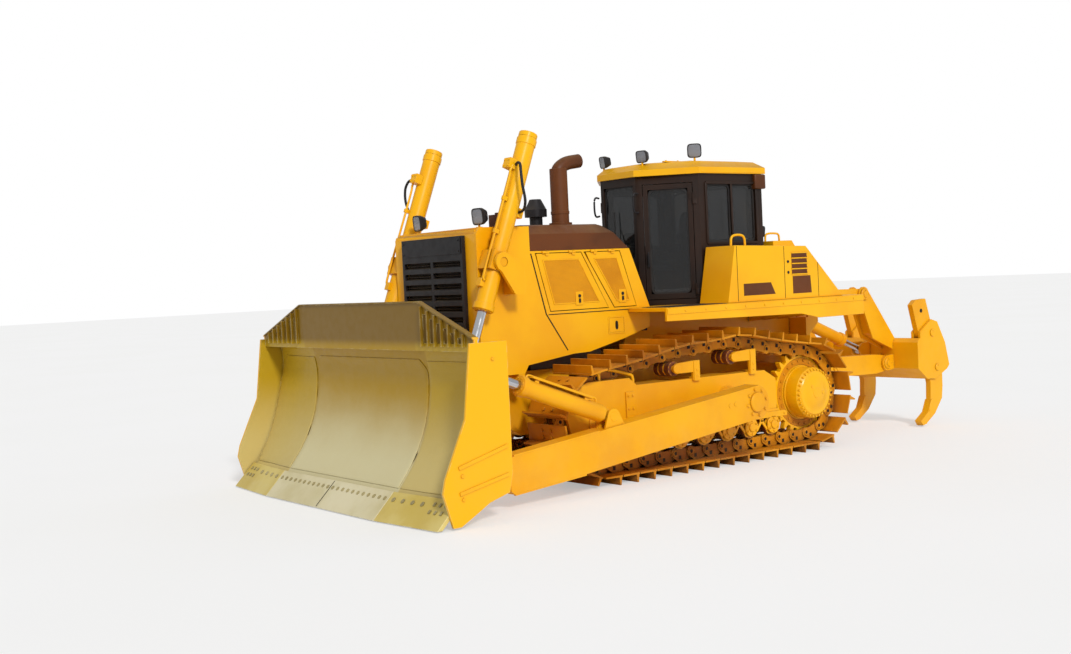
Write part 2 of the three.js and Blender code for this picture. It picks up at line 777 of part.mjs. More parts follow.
function engine() {
  return box([-440, 440], [-1950, -1000], [GUARD_BASE_Z + SEAT_GAP, 2150]);
}

function fender(side) {
  const inner = side * 430;
  const outer = side * DECK_HALF_WIDTH;
  const plate = extrude(
    "z",
    [
      [outer, -860],
      [outer, 2290],
      [side * 800, 2290],
      [side * 800, HULL_REAR_Y + 20],
      [inner, HULL_REAR_Y + 20],
      [inner, -520],
      [side * (BODY_HALF_WIDTH + 1), -520],
      [side * (BODY_HALF_WIDTH + 1), -860],
    ],
    [DECK_TOP_Z - 40, DECK_TOP_Z],
  );
  const skirt = extrude(
    "x",
    [
      [-860, DECK_TOP_Z - 10],
      [2290, DECK_TOP_Z - 10],
      [2290, 1500],
      [1500, 1500],
      [1200, 1560],
      [-860, 1590],
    ],
    [side * (DECK_HALF_WIDTH - 30), outer],
  );
  const ribs = [1250, 1500, 1750, 2000, 2260].map((y) =>
    extrude(
      "y",
      [
        [side * (y > HULL_REAR_Y ? 810 : 490), DECK_TOP_Z - 30],
        [side * (DECK_HALF_WIDTH - 20), DECK_TOP_Z - 30],
        [side * (DECK_HALF_WIDTH - 20), 1560],
        [side * (y > HULL_REAR_Y ? 810 : 490), y > HULL_REAR_Y ? 1520 : 1470],
      ],
      [y, y + 20],
    ),
  );
  return join(plate, skirt, ribs);
}

const SIDE_BOX = [
  [95, DECK_TOP_Z + SEAT_GAP],
  [225, 2350],
  [1370, 2320],
  [1900, 1810],
  [1980, DECK_TOP_Z + SEAT_GAP],
];

function sideBox(side) {
  return extrude("x", SIDE_BOX, [side * (CAB_HALF_WIDTH + 41), side * 1300]);
}

function fuelTank() {
  return extrude(
    "x",
    [
      [1320, DECK_TOP_Z + SEAT_GAP],
      [1320, 2400],
      [1640, 2400],
      [1950, 2010],
      [1980, DECK_TOP_Z + SEAT_GAP],
    ],
    [-CAB_HALF_WIDTH - 40, CAB_HALF_WIDTH + 40],
  );
}

function exhaust() {
  const [x, y] = [350, -1400];
  const path = new THREE.CatmullRomCurve3([
    new THREE.Vector3(x, y, 3180),
    new THREE.Vector3(x, y + 10, 3240),
    new THREE.Vector3(x, y + 110, 3300),
    new THREE.Vector3(x, y + 280, 3330),
  ]);
  const section = new THREE.Shape(arc([0, 0], 72, 0, 330, 11).map(([u, v]) => new THREE.Vector2(u, v)));
  const bend = { steps: 8, extrudePath: path, bevelEnabled: false };
  const outlet = solid(new THREE.ExtrudeGeometry(section, bend));
  return join(
    cylinder(92, [x, y, HOOD_TOP_Z + SEAT_GAP], [x, y, 3240]),
    cylinder(120, [x, y, HOOD_TOP_Z + SEAT_GAP], [x, y, HOOD_TOP_Z + 30]),
    outlet,
  );
}

function airIntake() {
  const [x, y] = [-100, -1380];
  return join(
    cylinder(70, [x, y, HOOD_TOP_Z + SEAT_GAP], [x, y, 2780]),
    cylinder(120, [x, y, 2760], [x, y, 2840]),
    cylinder(120, [x, y, 2839], [x, y, 2950], { endRadius: 60 }),
  );
}

// ---------------------------------------------------------------- cab
// The cab's plan: narrow front, slanted door faces, straight sides; inset moves every face inwards.
function cabPlan(inset) {
  const doorLength = Math.hypot(CAB_HALF_WIDTH - CAB_FRONT_HALF, CAB_POST_Y - CAB_FRONT_Y);
  const doorNormal = [
    (CAB_POST_Y - CAB_FRONT_Y) / doorLength,
    -(CAB_HALF_WIDTH - CAB_FRONT_HALF) / doorLength,
  ];
  const frontHalf = CAB_FRONT_HALF - (inset * (1 + doorNormal[1])) / doorNormal[0];
  const postY = CAB_POST_Y + (inset * (1 - doorNormal[0])) / -doorNormal[1];
  const right = [
    [frontHalf, CAB_FRONT_Y + inset],
    [CAB_HALF_WIDTH - inset, postY],
    [CAB_HALF_WIDTH - inset, CAB_REAR_Y - inset],
  ];
  const left = right.map(([x, y]) => [-x, y]).reverse();
  return [...right, ...left];
}

const CAB_FLOOR_Z = DECK_TOP_Z + SEAT_GAP;
const DOOR_SILL_Z = 1790;
const DOOR_HEAD_Z = 3080;

// The slanted door face as a frame: origin at the rear post, u forwards along the face, w outwards.
function doorFrame(side) {
  const rear = new THREE.Vector3(side * CAB_HALF_WIDTH, CAB_POST_Y, 0);
  const front = new THREE.Vector3(side * CAB_FRONT_HALF, CAB_FRONT_Y, 0);
  const u = front.clone().sub(rear).normalize();
  const w = new THREE.Vector3(-u.y * side, u.x * side, 0);
  return { rear, u, w, length: front.distanceTo(rear) };
}

const DOOR_START = 70; // post width at each end of the door face
const HINGE_OUT = 17; // hinge axis, outside the door face

// A plan rectangle in door coordinates, raised between two heights.
function doorBlock(side, [u0, u1], [w0, w1], heights) {
  const { rear, u, w } = doorFrame(side);
  const corner = (a, b) => [rear.x + u.x * a + w.x * b, rear.y + u.y * a + w.y * b];
  return extrude("z", [corner(u0, w0), corner(u1, w0), corner(u1, w1), corner(u0, w1)], heights);
}

function doorHinge(side) {
  const { rear, u, w } = doorFrame(side);
  return [
    rear.x + u.x * DOOR_START + w.x * HINGE_OUT,
    rear.y + u.y * DOOR_START + w.y * HINGE_OUT,
  ];
}

const HINGE_HEIGHTS = [1900, 2900];

function cabFrame() {
  const shell = cut(
    extrude("z", cabPlan(0), [CAB_FLOOR_Z, CAB_ROOF_Z]),
    extrude("z", cabPlan(CAB_WALL), [CAB_FLOOR_Z + 40, CAB_ROOF_Z - 60]),
  );
  const doorways = SIDES.map(([, side]) => {
    const width = [DOOR_START, doorFrame(side).length - DOOR_START];
    return doorBlock(side, width, [-CAB_WALL * 2, 30], [DOOR_SILL_Z, DOOR_HEAD_Z]);
  });
  const sideWindows = SIDES.map(([, side]) =>
    box([side * 700, side * 900], [CAB_POST_Y + 110, CAB_REAR_Y - 110], [2400, 3060]),
  );
  const windows = [
    ...sideWindows,
    box([-CAB_FRONT_HALF + 50, CAB_FRONT_HALF - 50], [CAB_FRONT_Y - 50, CAB_FRONT_Y + 100], [2250, 3080]),
    box([-620, 620], [CAB_REAR_Y - 100, CAB_REAR_Y + 50], [2440, 3060]),
  ];
  const hinges = SIDES.flatMap(([, side]) =>
    HINGE_HEIGHTS.map((z) => {
      const [x, y] = doorHinge(side);
      return join(
        cylinder(11, [x, y, z - 60], [x, y, z - PIN_GAP], { sides: 8 }),
        doorBlock(side, [DOOR_START - 40, DOOR_START - 1], [-20, HINGE_OUT], [z - 60, z - PIN_GAP]),
      );
    }),
  );
  return join(cut(shell, doorways, windows), hinges);
}

function cabDoor(side) {
  const from = DOOR_START + DOOR_GAP;
  const to = doorFrame(side).length - DOOR_START - DOOR_GAP;
  const sill = DOOR_SILL_Z + DOOR_GAP;
  const head = DOOR_HEAD_Z - DOOR_GAP;
  const leaf = cut(
    doorBlock(side, [from, to], [-45, 0], [sill, head]),
    doorBlock(side, [from + 50, to - 50], [-80, 30], [sill + 60, head - 55]),
  );
  const [x, y] = doorHinge(side);
  const hinges = HINGE_HEIGHTS.map((z) =>
    join(
      cylinder(11, [x, y, z], [x, y, z + 60], { sides: 8 }),
      doorBlock(side, [DOOR_START + 2, DOOR_START + 40], [HINGE_OUT - 11, HINGE_OUT], [z, z + 60]),
      doorBlock(side, [from + 4, DOOR_START + 40], [-12, HINGE_OUT], [z, z + 60]),
    ),
  );
  return join(leaf, hinges);
}

function cabRoof() {
  const low = CAB_ROOF_Z + SEAT_GAP;
  const ring = (inset, z) => cabPlan(inset).map(([x, y]) => [x, y, z]);
  const lower = extrude("z", cabPlan(-35), [low, low + 70]);
  const crown = roofLoft([ring(-35, low + 69), ring(60, low + 140), ring(200, low + 160)]);
  return join(lower, crown);
}

// Rings of equal point count stacked upwards and closed at both ends.
function roofLoft(rings) {
  const onSide = rings.map((ring) => ring.map(([x, y, z]) => [z, x, y]));
  const geometry = surface(loft(onSide));
  const x = new THREE.Vector3(1, 0, 0);
  const y = new THREE.Vector3(0, 1, 0);
  const z = new THREE.Vector3(0, 0, 1);
  geometry.applyMatrix4(new THREE.Matrix4().makeBasis(z, x, y));
  return solid(geometry);
}

const CAB_INNER_FLOOR_Z = CAB_FLOOR_Z + 40 + SEAT_GAP;

function controlConsoles() {
  return join(
    box([-200, 200], [420, 820], [CAB_INNER_FLOOR_Z, 2100]),
    box([-470, 470], [500, 700], [CAB_INNER_FLOOR_Z, 1860]),
    box([-80, 80], [-150, 500], [CAB_INNER_FLOOR_Z, CAB_INNER_FLOOR_Z + 20]),
    SIDES.map(([, side]) => box([side * 320, side * 470], [250, 850], [CAB_INNER_FLOOR_Z, 2330])),
    SIDES.map(([, side]) => cylinder(22, [side * 395, 300, 2320], [side * 395, 280, 2460])),
  );
}

function dashboard() {
  return extrude(
    "x",
    [
      [-195, CAB_INNER_FLOOR_Z],
      [-195, 2330],
      [-150, 2400],
      [-60, 2340],
      [-90, CAB_INNER_FLOOR_Z],
    ],
    [-210, 210],
  );
}

function operatorSeat() {
  return join(
    box([-250, 250], [370, 880], [2100 + SEAT_GAP, 2230]),
    extrude(
      "x",
      [
        [790, 2180],
        [880, 2180],
        [960, 2820],
        [880, 2820],
      ],
      [-240, 240],
    ),
    extrude(
      "x",
      [
        [885, 2800],
        [955, 2800],
        [965, 3000],
        [900, 3000],
      ],
      [-130, 130],
    ),
  );
}

// ---------------------------------------------------------------- blade and its linkage
// Cutting face from the lower edge up, as [y, z] points through which a smooth curve runs.
function faceCurve(controls) {
  const curve = new THREE.CatmullRomCurve3(controls.map(([y, z]) => new THREE.Vector3(0, y, z)));
  return curve.getPoints(12).map((p) => [p.y, p.z]);
}

const CENTRE_FACE = [
  [-4040, 240],
  [-3800, 500],
  [-3660, 800],
  [-3605, 1100],
  [-3605, 1300],
  [-3660, BLADE_TOP_Z],
];
const OUTER_FACE = [
  [-3955, 240],
  [-3770, 500],
  [-3660, 800],
  [-3580, 1100],
  [-3540, 1300],
  [-3560, BLADE_TOP_Z],
];
const EDGE_THICKNESS = 40;

// Slab below the face at 45 degrees: face top, tip, and its back moved by the slab's thickness.
function edgeSection([topY, topZ], tipY) {
  return [
    [topY - 4, topZ + 4],
    [tipY, BLADE_TIP_Z],
    [tipY + EDGE_THICKNESS * 1.41, BLADE_TIP_Z],
    [topY - 4 + EDGE_THICKNESS * 0.71, topZ + 4 - EDGE_THICKNESS * 0.71],
  ];
}

function bladeSection(face, tipY) {
  const [topY, topZ] = face[0];
  const backY = topY - 4 + EDGE_THICKNESS * 0.71;
  const backZ = topZ + 4 - EDGE_THICKNESS * 0.71;
  const gap = SEAT_GAP + 0.2;
  const lipY = tipY + EDGE_THICKNESS * 1.41;
  const t = 0.45;
  return [
    [backY + gap, backZ],
    ...faceCurve([[backY + gap + 2, backZ + 6], ...face.slice(1)]).slice(1),
    [-3480, BLADE_TOP_Z],
    [-3440, 1330],
    [-3440, 690],
    [-3600, 560],
    [-3600, 190],
    [backY + (lipY - backY) * t + 120, backZ + (BLADE_TIP_Z - backZ) * t - 10],
    [backY + (lipY - backY) * t + gap, backZ + (BLADE_TIP_Z - backZ) * t],
  ];
}

const EDGE_REACH = 235; // the cutting edge's tip lies this far in front of its top
const CENTRE_TIP_Y = CENTRE_FACE[0][0] - EDGE_REACH;
const OUTER_TIP_Y = OUTER_FACE[0][0] - EDGE_REACH;

function bladeBody() {
  const inner = BLADE_HALF_WIDTH - SIDE_PLATE;
  const centre = bladeSection(CENTRE_FACE, CENTRE_TIP_Y);
  const outer = bladeSection(OUTER_FACE, OUTER_TIP_Y);
  const at = (section, x) => section.map(([y, z]) => [x, y, z]);
  const shell = loft([
    at(outer, -inner - 1),
    at(centre, -BLADE_SEAM_X),
    at(centre, BLADE_SEAM_X),
    at(outer, inner + 1),
  ]);
  const sidePlate = [
    [-3790, 1570],
    [-3870, 930],
    [-4100, 440],
    [-4130, 320],
    [-4040, 20],
    [-3960, 20],
    [-3650, 190],
    [-3440, 250],
    [-3400, 420],
    [-3400, 1570],
  ];
  const plates = SIDES.map(([, side]) => extrude("x", sidePlate, [side * inner, side * BLADE_HALF_WIDTH]));
  const brackets = SIDES.flatMap(([, side]) => bladeBrackets(side));
  return join(shell, plates, spillGuard(), brackets);
}

function spillGuard() {
  const across = [-BLADE_HALF_WIDTH + 1, BLADE_HALF_WIDTH - 1];
  const rail = box(across, [-3740, -3490], [BLADE_TOP_Z - 30, BLADE_TOP_Z + 20]);
  const outline = [
    [-BLADE_HALF_WIDTH, BLADE_TOP_Z],
    [-BLADE_HALF_WIDTH, GUARD_END_Z],
    [-GUARD_SHOULDER_X, GUARD_PEAK_Z],
    [GUARD_SHOULDER_X, GUARD_PEAK_Z],
    [BLADE_HALF_WIDTH, GUARD_END_Z],
    [BLADE_HALF_WIDTH, BLADE_TOP_Z],
  ];
  const plate = extrude("y", outline, [-3740, -3705]);
  const slots = SIDES.flatMap(([, side]) =>
    Array.from({ length: 6 }, (_, i) => {
      const x = GUARD_SHOULDER_X + 80 + i * 110;
      const slope = (GUARD_PEAK_Z - GUARD_END_Z) / (BLADE_HALF_WIDTH - GUARD_SHOULDER_X);
      const top = GUARD_PEAK_Z - 60 - (x + 60 - GUARD_SHOULDER_X) * slope;
      return box([side * x, side * (x + 60)], [-3760, -3690], [BLADE_TOP_Z + 40, top]);
    }),
  );
  const ribs = [-900, -300, 300, 900].map((x) =>
    extrude(
      "x",
      [
        [-3706, BLADE_TOP_Z],
        [-3706, 1850],
        [-3560, BLADE_TOP_Z],
      ],
      [x - 12, x + 12],
    ),
  );
  return join(rail, cut(plate, slots), ribs);
}

// Pairs of plates behind the blade for the push arms, tilt rods and lift rods.
function bladeBrackets(side) {
  const cheeks = (x, halfGap, thickness, outline) =>
    [
      [x - halfGap - thickness, x - halfGap],
      [x + halfGap, x + halfGap + thickness],
    ].map(([near, far]) => extrude("x", outline, [side * near, side * far]));
  const rest = EYE_WIDTH / 2 + PIN_GAP;
  const [py, pz] = BLADE_PIN;
  const lower = [[-3605, pz + 130], [-3605, pz - 110], ...arc(BLADE_PIN, 115, -90, 90, 6)];
  const [ty, tz] = TILT_EYE;
  const upper = [[-3450, tz + 110], [-3450, tz - 150], ...arc(TILT_EYE, 85, -70, 70, 5)];
  const [ly, lz] = LIFT_EYE;
  const middle = [[-3450, lz + 120], [-3450, lz - 160], ...arc(LIFT_EYE, 85, -90, 60, 5)];
  return [
    ...cheeks(TILT_X, 62, 34, lower),
    crossPin(BLADE_PIN_RADIUS, [py, pz], [side * (TILT_X - 90), side * (TILT_X + 90)]),
    ...cheeks(TILT_X, rest, 30, upper),
    ...cheeks(LIFT_X, rest, 30, middle),
    box([side * (TILT_X - 96), side * (TILT_X + 96)], [-3620, -3590], [200, 560]),
    box([side * (TILT_X - rest - 30), side * (TILT_X + rest + 30)], [-3500, -3435], [tz - 150, tz + 80]),
    box([side * (LIFT_X - rest - 30), side * (LIFT_X + rest + 30)], [-3500, -3435], [lz - 160, lz + 120]),
  ];
}

function cuttingEdge() {
  return extrude("x", edgeSection(CENTRE_FACE[0], CENTRE_TIP_Y), [
    -BLADE_SEAM_X + SEAT_GAP,
    BLADE_SEAM_X - SEAT_GAP,
  ]);
}

function endBit(side) {
  const near = edgeSection(CENTRE_FACE[0], CENTRE_TIP_Y);
  const far = edgeSection(OUTER_FACE[0], OUTER_TIP_Y);
  const inner = BLADE_HALF_WIDTH - SIDE_PLATE - SEAT_GAP;
  const rings = [
    near.map(([y, z]) => [side * BLADE_SEAM_X, y, z]),
    far.map(([y, z]) => [side * inner, y, z]),
  ];
  return loft(side > 0 ? rings : rings.reverse());
}

function pushArm(side) {
  const body = [
    ...arc(TRUNNION, 185, -100, 75, 10),
    [-2080, 600],
    [-3110, 490],
    [-3150, 450],
    [-3150, 175],
    [-3110, 140],
    [-2260, 220],
  ];
  const nose = [[-3120, 470], [-3120, 160], ...arc(BLADE_PIN, 120, 270, 90, 8)];
  const ear = [
    [TILT_EAR[0] + 150, 600],
    ...arc(TILT_EAR, 78, 20, 160, 6),
    [TILT_EAR[0] - 120, 600],
  ];
  const earNear = EYE_WIDTH / 2 + PIN_GAP;
  const ears = [
    [TILT_X - earNear - 25, TILT_X - earNear],
    [TILT_X + earNear, TILT_X + earNear + 25],
  ].map(([near, far]) => extrude("x", ear, [side * near, side * far]));
  const whole = join(
    extrude("x", body, [side * ARM_INNER_X, side * ARM_OUTER_X]),
    extrude("x", nose, [side * (TILT_X - 61.5), side * (TILT_X + 61.5)]),
    ears,
    crossPin(38, TILT_EAR, [side * (TILT_X - 70), side * (TILT_X + 70)]),
  );
  return cut(
    whole,
    crossBore(TRUNNION_RADIUS, TRUNNION, [side * (ARM_INNER_X - 10), side * (ARM_OUTER_X - 85)]),
    crossBore(BLADE_PIN_RADIUS, BLADE_PIN, [side * (ARM_INNER_X - 30), side * (ARM_OUTER_X + 50)]),
  );
}

// ---------------------------------------------------------------- hydraulic cylinders
// Cylinders are made along local +Z from their fixed pivot at the origin, then laid from a to b.
function laid(mesh, x, [ay, az], [by, bz]) {
  mesh.position.set(x, ay, az);
  const along = new THREE.Vector3(0, by - ay, bz - az).normalize();
  mesh.quaternion.setFromUnitVectors(new THREE.Vector3(0, 0, 1), along);
  return mesh;
}

// A closed-ended tube from z0 to z1, open at z1, with a gland ring there.
function barrel(radius, rodRadius, z0, z1) {
  const hollow = bore(rodRadius, [0, 0, z0 + 60], [0, 0, z1 + 5]);
  const tube = cylinder(radius, [0, 0, z0], [0, 0, z1]);
  const gland = cylinder(radius + 14, [0, 0, z1 - 70], [0, 0, z1 - 10]);
  return cut(join(tube, gland), hollow);
}

function tiltBarrel() {
  const eye = join(
    cylinder(62, [-EYE_WIDTH / 2, 0, 0], [EYE_WIDTH / 2, 0, 0]),
    box([-40, 40], [-50, 50], [0, 130]),
  );
  const body = join(eye, barrel(TILT_BARREL_RADIUS, TILT_ROD_RADIUS, 110, TILT_BARREL_LENGTH));
  return cut(body, bore(38, [-80, 0, 0], [80, 0, 0]));
}

function rod(radius, eyeRadius, length, reach) {
  return join(
    cylinder(radius, [0, 0, reach - length], [0, 0, reach - 20]),
    cylinder(eyeRadius, [-EYE_WIDTH / 2, 0, reach], [EYE_WIDTH / 2, 0, reach]),
  );
}

function liftBarrel() {
  const ring = box([-105, 105], [-110, 110], [-95, 95]);
  const pins = cylinder(45, [-LIFT_X + BODY_HALF_WIDTH + 0.5, 0, 0], [LIFT_BARREL_RADIUS + 48, 0, 0]);
  const hollow = bore(LIFT_ROD_RADIUS, [0, 0, -LIFT_BARREL_UP + 60], [0, 0, LIFT_BARREL_DOWN + 5]);
  const tube = barrel(LIFT_BARREL_RADIUS, LIFT_ROD_RADIUS, -LIFT_BARREL_UP, LIFT_BARREL_DOWN);
  return cut(join(tube, ring, pins), hollow);
}

// ---------------------------------------------------------------- ripper
const RIPPER_LINK_PIVOT = [
  RIPPER_TOWER_EYE[0] - RIPPER_BEAM_PIVOT[0] + RIPPER_ARM_PIVOT[0],
  RIPPER_TOWER_EYE[1] - RIPPER_BEAM_PIVOT[1] + RIPPER_ARM_PIVOT[1],
];
const RIPPER_CHEEK_GAP = RIPPER_ARM_WIDTH / 2 + PIN_GAP;
const RIPPER_CHEEK = 34;
const RIPPER_FACE_Y = HULL_REAR_Y + SEAT_GAP;

// Two plates on each side of the machine, a gap apart, round x.
function platePairs(x, halfGap, thickness, outline) {
  return SIDES.flatMap(([, side]) =>
    [
      [x - halfGap - thickness, x - halfGap],
      [x + halfGap, x + halfGap + thickness],
    ].map(([near, far]) => extrude("x", outline, [side * near, side * far])),
  );
}

function pinPairs(x, radius, pivot, halfLength) {
  return SIDES.map(([, side]) => crossPin(radius, pivot, [side * (x - halfLength), side * (x + halfLength)]));
}

// Bolted to the hull's rear face; carries the lower arms, the upper links and the cylinders.
function ripperBracket() {
  const root = RIPPER_FACE_Y + 50;
  const lower = [[root, 560], [root, 1110], ...arc(RIPPER_ARM_PIVOT, 115, 70, -90, 8)];
  const upper = [[root, 1250], [root, 1620], ...arc(RIPPER_LINK_PIVOT, 85, 170, -30, 6), [root + 180, 1420]];
  const foot = [[root, 1100], [root, 1480], ...arc(RIPPER_CYLINDER_FOOT, 85, 90, -60, 6)];
  const halfPin = RIPPER_CHEEK_GAP + RIPPER_CHEEK + 14;
  return join(
    box([-745, 745], [RIPPER_FACE_Y, RIPPER_FACE_Y + 60], [540, 1480]),
    platePairs(RIPPER_ARM_X, RIPPER_CHEEK_GAP, RIPPER_CHEEK, lower),
    platePairs(RIPPER_ARM_X, RIPPER_CHEEK_GAP, RIPPER_CHEEK - 8, upper),
    platePairs(RIPPER_CYLINDER_X, EYE_WIDTH / 2 + PIN_GAP, 28, foot),
    pinPairs(RIPPER_ARM_X, RIPPER_PIN_RADIUS, RIPPER_ARM_PIVOT, halfPin),
    pinPairs(RIPPER_ARM_X, 40, RIPPER_LINK_PIVOT, halfPin - 14),
    pinPairs(RIPPER_CYLINDER_X, 38, RIPPER_CYLINDER_FOOT, EYE_WIDTH / 2 + 20),
  );
}

function ripperArms() {
  const [ay, az] = RIPPER_ARM_PIVOT;
  const [by, bz] = RIPPER_BEAM_PIVOT;
  const outline = [
    ...arc(RIPPER_ARM_PIVOT, 120, 90, 270, 6),
    [by - 190, bz - 120],
    ...arc(RIPPER_BEAM_PIVOT, 95, -90, 90, 6),
    [by - 190, bz + 120],
  ];
  const half = RIPPER_ARM_WIDTH / 2;
  const arms = SIDES.map(([, side]) =>
    extrude("x", outline, [side * (RIPPER_ARM_X - half), side * (RIPPER_ARM_X + half)]),
  );
  const tie = box([-RIPPER_ARM_X, RIPPER_ARM_X], [ay + 330, by - 300], [az - 75, az + 55]);
  const bores = [RIPPER_ARM_PIVOT, RIPPER_BEAM_PIVOT].map((pivot) =>
    crossBore(RIPPER_PIN_RADIUS, pivot, [-1000, 1000]),
  );
  return join(cut(join(arms), bores), tie);
}

function ripperLink(side) {
  const outline = [
    ...arc(RIPPER_LINK_PIVOT, 70, 90, 270, 6),
    ...arc(RIPPER_TOWER_EYE, 70, -90, 90, 6),
  ];
  const half = RIPPER_ARM_WIDTH / 2;
  const bar = extrude("x", outline, [side * (RIPPER_ARM_X - half), side * (RIPPER_ARM_X + half)]);
  const bores = [RIPPER_LINK_PIVOT, RIPPER_TOWER_EYE].map((pivot) =>
    crossBore(40, pivot, [side * (RIPPER_ARM_X - 200), side * (RIPPER_ARM_X + 200)]),
  );
  return cut(bar, bores);
}

const SHANK_FRONT = [
  [3560, 1540],
  [3640, 1270],
  [3800, 810],
  [3880, 540],
  [3870, 330],
  [3795, 175],
];
const SHANK_REAR = [
  [4130, 690],
  [3835, 1610],
];

// Y of a polyline at a height.
function alongEdge(points, z) {
  const index = points.findIndex(([, pz], i) => i > 0 && (pz - z) * (points[i - 1][1] - z) <= 0);
  const [y0, z0] = points[index - 1];
  const [y1, z1] = points[index];
  return y0 + ((y1 - y0) * (z - z0)) / (z1 - z0);
}

function ripperBeam() {
  const shankFront = (z) => alongEdge(SHANK_FRONT, z) - SEAM_GAP;
  const shankRear = (z) => alongEdge(SHANK_REAR, z) + SEAM_GAP;
  const beam = [
    [BEAM_FRONT_Y, 740],
    [BEAM_FRONT_Y, 1070],
    [BEAM_FRONT_Y + 40, 1120],
    [shankFront(1120), 1120],
    [shankFront(810), 810],
    [shankFront(600), 600],
    [BEAM_FRONT_Y + 180, 600],
  ];
  const pocket = [
    [BEAM_FRONT_Y + 60, 1110],
    [BEAM_FRONT_Y + 60, 1200],
    [3900, 1345],
    [4015, 1310],
    [4165, 1040],
    [4240, 750],
    [4190, 700],
    [3950, 590],
    [BEAM_FRONT_Y + 180, 605],
  ];
  const keeper = [
    [shankRear(1300), 1300],
    [4012, 1300],
    [4160, 1040],
    [4232, 755],
    [shankRear(755), 755],
  ];
  const halfGap = SHANK_THICKNESS / 2 + SEAT_GAP;
  const pockets = SHANK_X.flatMap((x) => [
    extrude("x", pocket, [x - halfGap - 32, x - halfGap]),
    extrude("x", pocket, [x + halfGap, x + halfGap + 32]),
    extrude("x", keeper, [x - halfGap - 10, x + halfGap + 10]),
  ]);
  const [by, bz] = RIPPER_BEAM_PIVOT;
  const [gy, gz] = RIPPER_CYLINDER_EYE;
  const [ty, tz] = RIPPER_TOWER_EYE;
  const root = BEAM_FRONT_Y + 60;
  const armLug = [[root, bz + 110], ...arc(RIPPER_BEAM_PIVOT, 95, 90, 270, 6), [root, bz - 70]];
  const tower = [
    [root, 1100],
    ...arc(RIPPER_TOWER_EYE, 95, 20, 200, 6),
    [ty + 140, tz - 560],
    [BEAM_FRONT_Y + 20, bz + 160],
  ];
  const eyeLug = [[root, gz + 100], ...arc(RIPPER_CYLINDER_EYE, 85, 90, 270, 6), [root, gz - 100]];
  const beamHalf = SHANK_X[0] + halfGap + 32;
  const towerWeb = extrude(
    "x",
    [
      [ty + 60, tz - 190],
      [ty + 150, tz - 500],
      [BEAM_FRONT_Y + 30, bz + 190],
      [BEAM_FRONT_Y + 30, 1110],
      [ty + 190, tz - 470],
      [ty + 110, tz - 190],
    ],
    [RIPPER_ARM_X - RIPPER_CHEEK_GAP - 5, RIPPER_ARM_X + RIPPER_CHEEK_GAP + 5],
  );
  return join(
    extrude("x", beam, [-beamHalf, beamHalf]),
    pockets,
    platePairs(RIPPER_ARM_X, RIPPER_CHEEK_GAP, RIPPER_CHEEK, armLug),
    platePairs(RIPPER_ARM_X, RIPPER_CHEEK_GAP, RIPPER_CHEEK - 8, tower),
    towerWeb,
    towerWeb.mirror([1, 0, 0]),
    platePairs(RIPPER_CYLINDER_X, EYE_WIDTH / 2 + PIN_GAP, 28, eyeLug),
    pinPairs(RIPPER_ARM_X, RIPPER_PIN_RADIUS, RIPPER_BEAM_PIVOT, RIPPER_CHEEK_GAP + RIPPER_CHEEK),
    pinPairs(RIPPER_ARM_X, 40, RIPPER_TOWER_EYE, RIPPER_CHEEK_GAP + RIPPER_CHEEK - 8),
  );
}

function shank(x) {
  const outline = [
    ...SHANK_FRONT,
    [3640, SHANK_TIP_Z + 60],
    [3680, SHANK_TIP_Z],
    [3775, SHANK_TIP_Z + 20],
    [3955, 145],
    [4110, 330],
    [4130, 490],
    ...SHANK_REAR,
    [3640, 1600],
  ];
  return extrude("x", outline, [x - SHANK_THICKNESS / 2, x + SHANK_THICKNESS / 2]);
}

function ripperBarrel() {
  const radius = RIPPER_BARREL_RADIUS;
  const eye = join(
    cylinder(62, [-EYE_WIDTH / 2, 0, 0], [EYE_WIDTH / 2, 0, 0]),
    box([-40, 40], [-50, 50], [0, 110]),
  );
  const body = join(eye, barrel(radius, RIPPER_ROD_RADIUS, 95, RIPPER_BARREL_LENGTH));
  return cut(body, bore(38, [-80, 0, 0], [80, 0, 0]));
}

// ---------------------------------------------------------------- assembly
function distance([ay, az], [by, bz]) {
  return Math.hypot(by - ay, bz - az);
}

function tractor() {
  const group = new THREE.Group();
  group.add(
    named("main_frame", mainFrame(), paint),
    named("radiator_guard", radiatorGuard(), paint),
    named("grille", grille(), blackPaint),
    named("hood_top", hoodTop(), darkPaint),
    named("bulkhead", bulkhead(), blackPaint),
    named("engine", engine(), castIron),
    named("exhaust", exhaust(), darkPaint),
    named("air_intake", airIntake(), blackPaint),
    named("fuel_tank", fuelTank(), paint),
    named("ripper_bracket", ripperBracket(), paint),
  );
  SIDES.forEach(([word, side]) => {
    group.add(
      named(`track_${word}`, track(side), paint),
      named(`track_frame_${word}`, trackFrame(side), paint),
      named(`idler_${word}`, idler(side), paint),
      named(`final_drive_${word}`, join(finalDrive(side), sprocket(side)), paint),
      named(`side_panel_${word}`, sidePanel(side), paint),
      named(`fender_${word}`, fender(side), paint),
      named(side > 0 ? "battery_box_left" : "hydraulic_tank_right", sideBox(side), paint),
    );
    Object.entries(ENGINE_DOORS).forEach(([place, outline]) => {
      group.add(named(`engine_door_${place}_${word}`, engineDoor(side, outline), paint));
    });
  });
  return group;
}

function cab() {
  const group = new THREE.Group();
  group.add(
    named("cab_frame", cabFrame(), blackPaint),
    named("cab_roof", cabRoof(), paint),
    named("control_consoles", join(controlConsoles(), dashboard()), blackPaint),
    named("operator_seat", operatorSeat(), upholstery),
  );
  SIDES.forEach(([word, side]) => group.add(named(`cab_door_${word}`, cabDoor(side), blackPaint)));
  return group;
}

